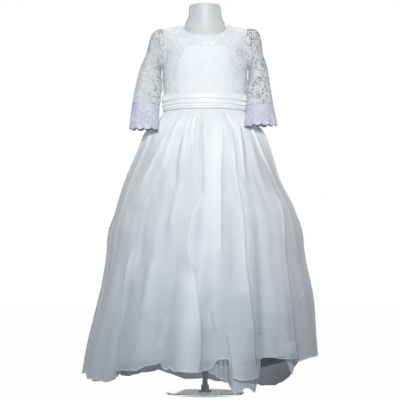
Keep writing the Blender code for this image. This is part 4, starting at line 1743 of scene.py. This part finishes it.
WAIST_Z = 0.8695
OVERLAP_SHARPNESS = 0.9
HEM_ZONE = 0.115
SKIRT_SECTIONS = table(
    SkirtSection,
    (0.870, 0.1262, 0.1262, 0.0935, 0.0865),
    (0.846, 0.1440, 0.1430, 0.1000, 0.0970),
    (0.811, 0.1800, 0.1790, 0.1130, 0.1180),
    (0.752, 0.2045, 0.2025, 0.1460, 0.1500),
    (0.658, 0.2430, 0.2310, 0.1890, 0.1950),
    (0.565, 0.2740, 0.2780, 0.2210, 0.2300),
    (0.503, 0.2930, 0.2960, 0.2370, 0.2500),
    (0.410, 0.3020, 0.3070, 0.2580, 0.2750),
    (0.286, 0.3260, 0.3310, 0.2840, 0.3030),
    (0.162, 0.3560, 0.3400, 0.3020, 0.3250),
    (0.000, 0.3870, 0.3460, 0.3180, 0.3450),
)
SKIRT_FOLDS = table(
    Fold,
    (-168, 7, -0.010, 0.60, 2),
    (-152, 9, 0.017, 0.72, -3),
    (-137, 7, -0.011, 0.55, 2),
    (-122, 9, 0.016, 0.66, 3),
    (-108, 6, -0.009, 0.48, 0),
    (-78, 7, -0.006, 0.50, 3),
    (-62, 9, 0.015, 0.66, 6),
    (-48, 6, -0.011, 0.52, 4),
    (-36, 7, 0.010, 0.60, 5),
    (-23, 7, -0.012, 0.56, 3),
    (-8, 9, 0.018, 0.76, 10),
    (4, 5, -0.009, 0.40, 2),
    (19, 8, 0.022, 0.70, 8),
    (31, 6, -0.012, 0.60, 2),
    (43, 7, 0.010, 0.64, -4),
    (55, 6, -0.009, 0.50, -3),
    (68, 8, 0.012, 0.60, -4),
    (104, 7, -0.009, 0.52, 0),
    (118, 9, 0.015, 0.68, -4),
    (133, 7, -0.010, 0.50, 2),
    (148, 9, 0.017, 0.70, 3),
    (162, 7, -0.009, 0.56, 0),
    (177, 9, 0.015, 0.74, -2),
)
SKIRT_CREASES = table(
    Crease,
    (14, 0.868, 5, 0.66, 3, 0.420, 7.5, 0.0050, 0.24),
    (4, 0.500, 0, 0.36, -2, 0.160, 9.0, 0.0040, 0.34),
    (-43, 0.360, -44, 0.22, -42, 0.090, 6.0, -0.0030, -0.24),
    (36, 0.260, 37, 0.17, 37, 0.100, 8.0, -0.0020, -0.20),
    (19, 0.330, 19.5, 0.20, 20, 0.040, 5.0, -0.0030, -0.34),
    (-11, 0.866, -12.5, 0.80, -15, 0.735, 1.7, 0.0046, 0.30),
    (-16, 0.866, -18, 0.79, -19, 0.66, 2.8, 0.0036, 0.10),
    (-21, 0.800, -22.5, 0.69, -20, 0.600, 2.0, -0.0050, -0.16),
    (-27, 0.868, -31, 0.78, -33, 0.66, 2.8, 0.0046, 0.14),
    (-17, 0.640, -19, 0.56, -21, 0.480, 2.2, 0.0036, 0.14),
    (-3, 0.600, -9, 0.49, -7, 0.370, 1.6, 0.0040, 0.16),
    (-37, 0.640, -39, 0.50, -40, 0.330, 2.6, -0.0060, -0.14),
    (-30, 0.420, -31, 0.32, -31, 0.230, 3.0, 0.0070, 0.16),
    (-20, 0.250, -22, 0.19, -23, 0.130, 2.6, 0.0070, 0.14),
    (-9, 0.380, -9.5, 0.25, -10, 0.105, 5.6, 0.0100, 0.36),
    (-4.5, 0.866, -3.5, 0.77, -2, 0.560, 1.6, -0.0046, -0.12),
    (37, 0.856, 32.5, 0.74, 29, 0.620, 2.0, 0.0044, 0.34),
    (41, 0.850, 37, 0.73, 34, 0.580, 2.6, -0.0040, -0.18),
    (54, 0.856, 53.5, 0.77, 66, 0.650, 1.7, 0.0056, 0.30),
    (45, 0.800, 44, 0.71, 46, 0.600, 2.6, 0.0040, 0.10),
    (17, 0.600, 16, 0.45, 15, 0.300, 2.8, -0.0060, -0.14),
    (1.5, 0.265, 2.2, 0.23, 3, 0.190, 0.8, 0.0020, 0.10),
    (3.5, 0.265, 4.4, 0.23, 5, 0.185, 0.8, -0.0022, -0.14),
    (24, 0.240, 30, 0.216, 43, 0.202, 4.0, 0.0030, 0.12),
    (24, 0.222, 31, 0.196, 44, 0.184, 4.0, 0.0030, 0.10),
    (44, 0.170, 45, 0.15, 46, 0.118, 3.6, 0.0050, 0.20),
    (64, 0.318, 58, 0.29, 51, 0.262, 0.8, 0.0024, 0.16),
    (52, 0.470, 55, 0.42, 58, 0.380, 1.6, -0.0036, -0.14),
    (72, 0.450, 66, 0.41, 58, 0.380, 2.0, -0.0024, -0.10),
    (-60, 0.866, -63, 0.72, -66, 0.500, 3.4, 0.0050, 0.08),
    (-74, 0.866, -75, 0.70, -76, 0.500, 3.4, -0.0050, -0.08),
    (72, 0.866, 76, 0.72, 79, 0.520, 3.4, 0.0050, 0.08),
    (85, 0.866, 86, 0.70, 88, 0.420, 3.2, -0.0050, -0.08),
    (-86, 0.866, -87, 0.72, -88, 0.520, 3.4, 0.0045, 0.08),
    (105, 0.866, 108, 0.72, 109, 0.480, 3.0, 0.0055, 0.14),
    (116, 0.866, 117, 0.74, 119, 0.560, 2.4, -0.0050, -0.12),
    (143, 0.866, 145, 0.72, 146, 0.500, 2.2, 0.0055, 0.18),
    (163, 0.868, 162, 0.72, 161, 0.440, 2.4, -0.0050, -0.12),
    (177, 0.868, 178, 0.76, 180, 0.560, 2.2, 0.0055, 0.18),
    (-169, 0.868, -168, 0.74, -165, 0.520, 2.2, -0.0050, -0.12),
    (-150, 0.868, -149, 0.75, -146, 0.500, 2.2, 0.0055, 0.18),
    (-112, 0.866, -111, 0.72, -109, 0.460, 2.8, 0.0055, 0.12),
)
UNDER_PLEATS = tuple(
    Crease(angle, 0.150, angle + 0.4, 0.10, angle + 1, 0.050, 0.7, -0.0040, -0.40)
    for angle in (1.5, 4.0, 6.2, 8.8, 11.0)
)
SKIRT_OVERLAPS = table(
    Overlap,
    (28, 0.850, 22.5, 0.50, 25, 0.060, -1, 7.0, 0.0052, 0.34),
    (20, 0.860, 12, 0.66, 9, 0.400, -1, 8.0, 0.0024, 0.26),
    (57, 0.640, 50, 0.42, 50.5, 0.100, -1, 9.0, 0.0110, 0.30),
    (-39, 0.800, -46, 0.68, -56, 0.545, 1, 9.0, 0.0085, 0.26),
    (-46.5, 0.450, -48.5, 0.28, -43.5, 0.080, 1, 7.0, 0.0100, 0.26),
    (-8, 0.400, -3.6, 0.30, -2.4, 0.095, -1, 5.5, 0.0040, 0.40),
    (9.5, 0.210, 11.6, 0.14, 12.8, 0.060, 1, 5.0, 0.0090, 0.26),
    (95, 0.560, 98, 0.35, 99, 0.110, -1, 9.0, 0.0090, 0.24),
    (126, 0.850, 128, 0.55, 124, 0.090, 1, 8.0, 0.0090, 0.28),
    (152, 0.640, 150, 0.40, 154, 0.050, -1, 7.0, 0.0095, 0.30),
    (169, 0.860, 173, 0.62, 171, 0.070, -1, 8.0, 0.0085, 0.30),
    (-158, 0.700, -160, 0.42, -157, 0.060, 1, 7.0, 0.0095, 0.30),
    (-130, 0.860, -135, 0.56, -132, 0.070, -1, 8.0, 0.0090, 0.28),
    (-97, 0.560, -99, 0.36, -100, 0.075, 1, 9.0, 0.0090, 0.24),
)
OVER_HEM = table(
    HemPoint,
    (-180, 0.034), (-168, 0.044), (-150, 0.058), (-120, 0.062), (-92, 0.064), (-75, 0.068), (-64, 0.056),
    (-56, 0.057), (-51, 0.050), (-46, 0.060), (-44, 0.084), (-40, 0.089), (-32, 0.087), (-28, 0.100),
    (-24, 0.106), (-21, 0.113), (-19, 0.093), (-17, 0.090), (-16, 0.098), (-14, 0.089), (-8, 0.088),
    (0, 0.088), (3, 0.096), (6, 0.122), (11, 0.124), (12.5, 0.072), (16, 0.062), (21, 0.066),
    (24.5, 0.072), (26, 0.121), (30, 0.125), (36, 0.123), (43, 0.120), (49, 0.119), (52, 0.108),
    (58, 0.112), (66, 0.120), (76, 0.122), (92, 0.118), (118, 0.108), (136, 0.050), (155, 0.030),
    (172, 0.040), (180, 0.034),
)
UNDER_HEM = table(
    HemPoint,
    (-180, 0.026), (-173, 0.021), (-163, 0.038), (-156, 0.054), (-146, 0.046), (-137, 0.040),
    (-120, 0.054), (-92, 0.060), (-60, 0.050), (-47, 0.066), (-42, 0.110), (-24, 0.122), (-4, 0.104),
    (0, 0.092), (4, 0.080), (11, 0.056), (14, 0.022), (19, 0.042), (22, 0.038), (25.5, 0.024),
    (28, 0.066), (30, 0.130), (43, 0.128), (46, 0.096), (48.5, 0.072), (52, 0.110), (70, 0.122),
    (92, 0.116), (112, 0.106), (119, 0.086), (126, 0.040), (135, 0.009), (143, 0.007), (165, 0.007),
    (174, 0.018), (180, 0.026),
)
LINING_HEM = table(
    HemPoint,
    (-180, 0.070), (-90, 0.090), (-20, 0.112), (30, 0.122), (90, 0.132), (140, 0.070), (180, 0.070),
)


def away_from(angle: Array, place: Array) -> Array:
    """Return the signed angle from a place, in degrees, the short way round."""
    return (angle - place + 180) % 360 - 180


def line_place(line: Crease | Overlap, z: Array, fade: float) -> tuple[Array, Array]:
    """Return a crease line's angle at each height, and how strongly it shows there.

    Args:
        line: The crease or overlap.
        z: The heights.
        fade: The share of the line over which it grows and dies away at its ends.

    Returns:
        The angles, and the strengths from 0 to 1.
    """
    heights = (line.foot_z, line.middle_z, line.top_z)
    angles = (line.foot_angle, line.middle_angle, line.top_angle)
    place = np.polyval(np.polyfit(heights, angles, 2), np.clip(z, line.foot_z, line.top_z))
    share = (line.top_z - z) / (line.top_z - line.foot_z)
    tail = np.ones_like(z) if line.foot_z < HEM_ZONE else smoothstep((1 - share) / fade)
    return place, smoothstep(share / fade) * tail


@dataclass
class SkirtLayer:
    """One layer of the skirt: how far it lies inside the outer one, its folds and its hem."""

    name: str
    hem: tuple[HemPoint, ...]
    waist_in: float
    puff_in: float
    hem_in: float
    fold_share: float
    gather_count: int
    gather_depth: float
    seed: float
    columns: int
    rows: int
    flat_width: float
    flat_length: float
    ragged: float
    pleats: tuple[Crease, ...] = ()
    puff_z: float = 0.800
    roll_radius: float = 0.0010
    roll_steps: int = 6

    def hem_z(self, angle: Array) -> Array:
        """Return the hem's height, with its small unevenness.

        Args:
            angle: The angles round the skirt, in degrees.

        Returns:
            The heights.
        """
        turned = away_from(angle, 0.0)
        ragged = self.ragged * ripple(
            turned / 360, (0.5, 23.0, self.seed), (0.35, 41.0, self.seed * 2.1), (0.2, 67.0, 0.4)
        )
        return np.interp(turned, *zip(*self.hem)) + ragged

    def inset(self, z: Array) -> Array:
        """Return how far the layer lies inside the outer one at a height."""
        upper = mix(self.waist_in, self.puff_in, (WAIST_Z - z) / (WAIST_Z - self.puff_z))
        lower = mix(self.puff_in, self.hem_in, (self.puff_z - z) / self.puff_z)
        return np.where(z > self.puff_z, upper, lower)

    def broad_folds(self, angle: Array, z: Array) -> Array:
        """Work out the skirt's broad round folds.

        Args:
            angle: The angles round the skirt, in degrees.
            z: The heights.

        Returns:
            How far they stand out, in metres.
        """
        depth = np.zeros_like(angle)
        for fold in SKIRT_FOLDS:
            grown = smoothstep((fold.top - z) / fold.top)
            place = fold.angle + fold.drift * (1 - grown)
            away = np.clip(np.abs(away_from(angle, place)) / fold.half_width, 0, 1)
            depth += fold.depth * grown * np.cos(away * math.pi / 2) ** 2
        flow = np.sin(angle * 0.5 + 9 * z + self.seed) * np.sin(angle * 0.17 - 14 * z)
        return depth + 0.0022 * flow * smoothstep((WAIST_Z - 0.08 - z) / 0.2)

    def creases(self, angle: Array, z: Array) -> tuple[Array, Array]:
        """Work out the creases and overlaps.

        Args:
            angle: The angles round the skirt, in degrees.
            z: The heights.

        Returns:
            How far they stand out, and how much denser the cloth lies there.
        """
        depth, cover = np.zeros_like(angle), np.zeros_like(angle)
        for crease in SKIRT_CREASES + self.pleats:
            place, live = line_place(crease, z, fade=0.22)
            ridge = bell(away_from(angle, place) / crease.half_width) * live
            depth += crease.depth * ridge
            cover += crease.cover * ridge
        for edge in SKIRT_OVERLAPS:
            place, live = line_place(edge, z, fade=0.16)
            away = away_from(angle, place) * edge.side
            step = smoothstep(away / OVERLAP_SHARPNESS + 0.5)
            over = step * np.exp(-np.maximum(away, 0) / edge.width)
            under = (1 - step) * np.exp(np.minimum(away, 0) / (0.5 * edge.width))
            depth += edge.depth * live * (over - 0.35 * under)
            cover += edge.cover * live * (over - 0.5 * under)
        return depth, cover

    def gathers(self, angle: Array, z: Array) -> tuple[Array, Array]:
        """Work out the waist's uneven gathers.

        Args:
            angle: The angles round the skirt, in degrees.
            z: The heights.

        Returns:
            How far they stand out, and how much denser the cloth lies there.
        """
        rise = smoothstep((WAIST_Z - z) / 0.035)
        fade = smoothstep((z - 0.60) / (0.855 - 0.60)) ** 1.5
        wander = 1.1 * np.sin(angle * 0.083 + self.seed * 5) + 0.6 * np.sin(angle * 0.19 + 1.7)
        turns = angle / 360 * self.gather_count + wander
        main = np.cos(math.tau * turns)
        small = np.cos(math.tau * (turns * 1.83 + 0.7 * np.sin(angle * 0.31) + self.seed))
        height = 0.65 + 0.60 * np.sin(angle * 0.147 + self.seed * 3 + 4 * z)
        wave = height * (main + 0.45 * small) * rise * fade
        waist = 0.40 * smoothstep((z - 0.60) / (WAIST_Z - 0.60))
        return self.gather_depth * wave, waist + 0.04 * wave

    def point(self, angle: Array, share: Array) -> tuple[Array, Array]:
        """Return points of the layer.

        Args:
            angle: The angles round the skirt, in degrees.
            share: From 0 at the waist to 1 at the hem.

        Returns:
            The points, and how much denser than flat the cloth lies there.
        """
        z = mix(WAIST_Z, self.hem_z(angle), share)
        turn = np.radians(angle)
        out_x, out_y = np.sin(turn), -np.cos(turn)
        left, right, front, back = (
            read_curve(SKIRT_SECTIONS, "z", side, z) for side in ("left", "right", "front", "back")
        )
        width = np.where(out_x > 0, left, right) - self.inset(z)
        depth = np.where(out_y < 0, front, back) - self.inset(z)
        crease, crease_cover = self.creases(angle, z)
        gather, gather_cover = self.gathers(angle, z)
        stand = self.fold_share * (self.broad_folds(angle, z) + crease) + gather
        cover = self.fold_share * crease_cover + gather_cover
        return stack(out_x * (width + stand), out_y * (depth + stand), z), cover

    def panel(self, panel_name: str, middle: float, material: Material, slot: Slot) -> Piece:
        """Build the front or the back panel, with its hem rolled outwards.

        Args:
            panel_name: front or back.
            middle: The angle of the panel's centre line.
            material: The cloth.
            slot: Its material slot.

        Returns:
            The panel.
        """
        share = np.concatenate(
            (np.linspace(0, 0.12, self.rows // 4)[:-1], np.linspace(0.12, 1, self.rows))
        )
        angle = np.linspace(middle - 90, middle + 90, self.columns + 1)
        points, cover = self.point(*np.meshgrid(angle, share))
        hem = points[-1]
        down = unit(hem - points[-3])
        out = hem * (1, 1, 0)
        out = unit(out - down * np.sum(out * down, axis=-1, keepdims=True))
        steps = np.arange(1, self.roll_steps + 1)
        turn = np.radians(52 * steps)[:, None, None]
        rolls = hem + (out * (1 - np.cos(turn)) + down * np.sin(turn)) * self.roll_radius
        points = np.concatenate((points, rolls))
        cover = np.concatenate((cover, np.repeat(cover[-1:], self.roll_steps, axis=0)))
        down_share = np.concatenate((share, 1 + 0.0012 * steps))
        across = np.linspace(0, self.flat_width, self.columns + 1)
        flat = grid_of(across, down_share * self.flat_length)
        piece = sheet_mesh(f"{self.name}_{panel_name}_cloth", points, flat, cover=cover)
        return dress(piece, material, slot, f"{self.name}_{panel_name}")


# The skirt's layers, from the outside in
SKIRT_LAYERS = (
    SkirtLayer(
        name="skirt_over", hem=OVER_HEM, waist_in=0.0, puff_in=0.0, hem_in=0.0,
        fold_share=1.0, gather_count=27, gather_depth=0.0017, seed=0.13,
        columns=400, rows=130, flat_width=1.15, flat_length=0.84, ragged=0.0018,
    ),
    SkirtLayer(
        name="skirt_under", hem=UNDER_HEM, waist_in=0.0030, puff_in=0.0100, hem_in=0.0160,
        fold_share=0.75, gather_count=25, gather_depth=0.0016, seed=0.47,
        columns=280, rows=100, flat_width=1.10, flat_length=0.86, ragged=0.0030,
        pleats=UNDER_PLEATS,
    ),
    SkirtLayer(
        name="skirt_lining", hem=LINING_HEM, waist_in=0.0054, puff_in=0.0200, hem_in=0.0450,
        fold_share=0.35, gather_count=20, gather_depth=0.0014, seed=0.81,
        columns=160, rows=70, flat_width=0.95, flat_length=0.80, ragged=0.0,
    ),
)


@dataclass
class Skirt:
    """The full skirt: two layers of tulle over a satin lining, gathered into the waist seam."""

    wardrobe: Wardrobe
    lining_cloth: float = 0.0005
    area_share: float = 0.80

    def build(self) -> None:
        """Build every layer's front and back."""
        cloths = (
            (self.wardrobe.tulle_over, Slot.TULLE),
            (self.wardrobe.tulle_under, Slot.TULLE),
            (self.wardrobe.skirt_satin, Slot.SATIN),
        )
        for layer, (material, slot) in zip(SKIRT_LAYERS, cloths):
            for panel_name, middle in (("front", 0.0), ("back", 180.0)):
                piece = layer.panel(panel_name, middle, material, slot)
                if slot is Slot.SATIN:
                    add_wall(piece, self.lining_cloth)


# ---------------------------------------------------------------- dress form


class FormRing(NamedTuple):
    """A ring of the form's hips."""

    z: float
    half_width: float
    half_depth: float


class NeckRing(NamedTuple):
    """A ring of the form's neck."""

    side_z: float
    front_z: float
    back_z: float
    half_width: float
    front_y: float
    back_y: float


HIPS = table(
    FormRing,
    (0.646, 0.070, 0.055),
    (0.650, 0.092, 0.070),
    (0.664, 0.110, 0.083),
    (0.700, 0.121, 0.091),
    (0.760, 0.124, 0.092),
    (0.820, 0.120, 0.085),
)
NECK = table(
    NeckRing,
    (1.1490, 1.119, 1.140, 0.0620, -0.0535, 0.0525),
    (1.1610, 1.146, 1.155, 0.0558, -0.0495, 0.0520),
    (1.1780, 1.172, 1.175, 0.0510, -0.0480, 0.0510),
    (1.2020, 1.202, 1.202, 0.0490, -0.0465, 0.0490),
    (1.2050, 1.205, 1.205, 0.0467, -0.0442, 0.0467),
)


@dataclass
class DressForm:
    """The limbless torso with its neck, on a pole and a round base plate."""

    wardrobe: Wardrobe
    columns: int = 28
    steps: int = 5
    edge: float = 0.90
    side_x: float = 0.1300
    back_share: float = 0.92

    @property
    def half(self) -> int:
        """Return how many points a body ring has from a centre line to a side."""
        return (self.columns - 4) // 4

    def body_ring(self, row: int) -> Array:
        """Return a ring that follows the bodice from inside.

        Args:
            row: The bodice's row.

        Returns:
            The ring's points.
        """
        ring = []
        spot = np.array(float(row))
        edge = (panel_edge(FRONT, spot) + panel_edge(BACK, spot)) / 2
        on_armhole = SIDE_ROWS < row < SIDE_ROWS + ARMHOLE_ROWS
        side_x = self.side_x if on_armhole else edge[0]
        down = FORM_GAP * float(smoothstep((spot - SIDE_ROWS) / ARMHOLE_ROWS))
        for face, heading in ((FRONT, 1), (BACK, -1)):
            across = heading * self.edge * np.arange(-self.half, self.half + 1) / self.half
            ring.extend(under_bodice(face, across, spot, FORM_GAP))
            ring.append((heading * (side_x - FORM_GAP), edge[1], edge[2] - down))
        return np.array(ring)

    def oval(
        self, half_width: float, front_y: float, back_y: float, heights: tuple[float, ...]
    ) -> Array:
        """Return a ring of the hips or the neck.

        Args:
            half_width: Half of its width.
            front_y: The Y of its front.
            back_y: The Y of its back.
            heights: Its heights at the front, side and back.

        Returns:
            The ring's points.
        """
        turn = math.tau * (np.arange(self.columns) - self.half) / self.columns
        x, y = np.sin(turn), -np.cos(turn)
        front_z, side_z, back_z = heights
        depth = np.where(y < 0, -front_y, back_y)
        return stack(
            half_width * x, depth * y, mix(side_z, np.where(y < 0, front_z, back_z), y * y)
        )

    def torso(self) -> None:
        """Build the smooth torso, closed below the hips and at the cut of the neck."""
        rings = [
            self.oval(h.half_width, -h.half_depth, h.half_depth * self.back_share, (h.z,) * 3)
            for h in HIPS
        ]
        rings += [self.body_ring(row) for row in range(TOP_ROW + 1)]
        rings += [
            self.oval(n.half_width, n.front_y, n.back_y, (n.front_z, n.side_z, n.back_z))
            for n in NECK
        ]
        around = refine(np.array(rings).transpose(1, 0, 2), self.steps, wraps=True)
        points = refine(around.transpose(1, 0, 2), self.steps)
        low, high = points[0].mean(axis=0), points[-1].mean(axis=0)
        lower = [mix(low, points[0], share) for share in (0.0, 0.5)]
        upper = [mix(high, points[-1], share) for share in (0.95, 0.5, 0.0)]
        points = np.concatenate((lower, points, upper))
        bm = grid_on(points, flat_grid(*points.shape[:2], 0.7, 0.6))
        close_up(bm)
        piece = finish_mesh(bm, "form_torso_shell")
        piece.data.set_sharp_from_angle(angle=math.radians(45))
        dress(piece, self.wardrobe.form, Slot.FORM, "form_torso")

    def build(self) -> None:
        """Build the torso and finish the pole and the base plate."""
        self.torso()
        steel, glass = self.wardrobe.steel, self.wardrobe.glass
        finishes = {"form_pole": steel, "form_socket": steel, "form_base": glass}
        for name, material in finishes.items():
            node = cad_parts[name]
            node.data.materials.clear()
            node.data.materials.append(material)
            LOG.info("finished %s", name)


# ---------------------------------------------------------------- studio


class Lamp(NamedTuple):
    """A light: its kind, place and aim, watts, spread or cone in degrees, size and colour."""

    name: str
    kind: str
    place: tuple[float, float, float]
    aim: tuple[float, float, float]
    watts: float
    angle: float
    size: float
    colour: str = "#ffffff"


CHEST, WAIST = (0.0, 0.0, 0.98), (0.0, 0.0, 0.80)
LAMPS = (
    Lamp("key", "SPOT", (0.25, -3.4, 1.55), CHEST, 238.0, 34.0, 0.18, "#fffaf0"),
    Lamp("wide_key", "SPOT", (-0.3, -3.6, 1.3), WAIST, 244.0, 60.0, 0.18, "#eff5ff"),
    Lamp("foot", "SPOT", (0.0, -3.5, 0.2), (0.0, 0.0, -0.03), 110.0, 4.4, 0.18, "#eff6ff"),
    Lamp("top", "AREA", (0.0, 0.3, 3.2), (0.0, 0.0, 0.0), 10.5, 120.0, 1.6),
    Lamp("back", "AREA", (0.0, 3.8, 1.5), WAIST, 20.0, 100.0, 1.0),
    Lamp("rim_right", "AREA", (-2.6, 1.6, 1.5), WAIST, 8.0, 100.0, 1.2),
    Lamp("rim_left", "AREA", (2.6, 1.6, 1.5), WAIST, 8.0, 100.0, 1.2),
)


@dataclass
class Studio:
    """The floor, the lights and the camera."""

    view_distance: float = 4.0
    view_x: float = -0.0155
    view_height: float = 0.3266
    aim_height: float = 0.5963
    frame_height: float = 1.24
    sensor: float = 36.0
    floor_size: float = 40.0
    floor_drop: float = 0.0005
    floor_glow: float = 0.995
    ambient: float = 0.06
    ambient_colour: str = "#dfecfa"
    sweep_colour: str = "#ffffff"
    room_colour: str = "#7c828c"
    floor_colour: str = "#999da2"

    def direct_view(self, nodes: Nodes) -> tuple[NodeSocket, NodeSocket]:
        """Work out where the sweep is seen, and its colour there.

        The sweep glows white where it is seen directly, or in and through glass. Behind nets the
        room is dim, so that sheer cloth reads darker than the sweep, as it does in a studio.

        Args:
            nodes: The tree that the nodes are added to.

        Returns:
            A mask of direct sight, and the colour.
        """
        direct = nodes.add("LightPath", "Is Camera Ray", {})
        by_glass, nets = (
            direct.node.outputs[name] for name in ("Is Singular Ray", "Transparent Depth")
        )
        seen = nodes.add("Math", 0, {0: direct, 1: by_glass}, operation="MAXIMUM")
        past_net = nodes.add("Math", 0, {0: nets, 1: 0.5}, operation="GREATER_THAN")
        ends = {6: srgb(self.sweep_colour), 7: srgb(self.room_colour)}
        return seen, nodes.add("Mix", 2, {0: past_net, **ends}, data_type="RGBA")

    def floor(self) -> None:
        """Build the plain pale floor; it glows where it is seen, as a lit sweep does."""
        bm = bmesh.new()
        bmesh.ops.create_grid(bm, x_segments=1, y_segments=1, size=self.floor_size / 2)
        bmesh.ops.translate(bm, vec=(0, 0, -self.floor_drop), verts=bm.verts)
        piece = finish_mesh(bm, "studio_floor")
        finish = Finish("studio_floor_paint", self.floor_colour, roughness=0.9)
        seen, colour = self.direct_view(finish)
        glow = finish.add("Emission", "Emission", {"Color": colour, "Strength": 1.0})
        share = finish.add("Math", 0, {0: seen, 1: self.floor_glow}, operation="MULTIPLY")
        paint = finish.shader.outputs["BSDF"]
        both = finish.add("MixShader", "Shader", {0: share, 1: paint, 2: glow})
        finish.wire(finish.tree.nodes["Material Output"], {"Surface": both})
        piece.data.materials.append(finish.material)

    def world(self) -> None:
        """Set a white backdrop that lights the dress softly from all round."""
        world = bpy.data.worlds.new("studio")
        bpy.context.scene.world = world
        world.use_nodes = True
        nodes = Nodes(world.node_tree)
        seen, backdrop = self.direct_view(nodes)
        ends = {6: srgb(self.ambient_colour), 7: backdrop}
        colour = nodes.add("Mix", 2, {0: seen, **ends}, data_type="RGBA")
        strength = nodes.add("MapRange", "Result", {"Value": seen, "To Min": self.ambient})
        nodes.wire(nodes.tree.nodes["Background"], {"Color": colour, "Strength": strength})

    def hang(self, name: str, data: bpy.types.ID, place: Vector, aim: Vector) -> Piece:
        """Place a light or the camera, out of the camera's own sight.

        Args:
            name: Its name.
            data: The light or the camera.
            place: Where it stands.
            aim: The point that it is turned to.

        Returns:
            Its object.
        """
        holder = bpy.data.objects.new(name, data)
        holder.location = place
        holder.rotation_euler = (aim - place).to_track_quat("-Z", "Y").to_euler()
        holder.visible_camera = False
        bpy.context.scene.collection.objects.link(holder)
        return holder

    def light(self, lamp: Lamp) -> None:
        """Add a soft square light, or a spot whose edge falls off over its whole cone.

        Args:
            lamp: The light's row of the table.
        """
        data = bpy.data.lights.new(lamp.name, lamp.kind)
        data.energy = lamp.watts
        data.color = srgb(lamp.colour)[:3]
        if lamp.kind == "SPOT":
            data.spot_size = math.radians(lamp.angle)
            data.spot_blend = 1.0
            data.shadow_soft_size = lamp.size
        else:
            data.shape = "SQUARE"
            data.size = lamp.size
            data.spread = math.radians(lamp.angle)
        self.hang(lamp.name, data, Vector(lamp.place), Vector(lamp.aim))

    def camera(self) -> None:
        """Place the camera low in front of the skirt, looking slightly up."""
        lens_data = bpy.data.cameras.new("camera")
        place = Vector((self.view_x, -self.view_distance, self.view_height))
        aim = Vector((self.view_x, 0.0, self.aim_height))
        lens_data.sensor_width = self.sensor
        lens_data.lens = self.sensor * (aim - place).length / self.frame_height
        bpy.context.scene.camera = self.hang("camera", lens_data, place, aim)

    def build(self) -> None:
        """Set up the whole studio."""
        self.floor()
        self.world()
        for lamp in LAMPS:
            self.light(lamp)
        self.camera()
        settings = bpy.context.scene.view_settings
        settings.view_transform = "Standard"
        settings.look = "None"
        bpy.context.scene.cycles.transparent_max_bounces = 32


def main() -> None:
    """Build the studio, the form and the dress."""
    logging.basicConfig(level=logging.INFO, format="%(message)s")
    Studio().build()
    wardrobe = Wardrobe()
    for part in (DressForm, Bodice, Sash, Sleeves, Skirt):
        part(wardrobe).build()
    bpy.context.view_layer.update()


if __name__ == "__main__":
    main()
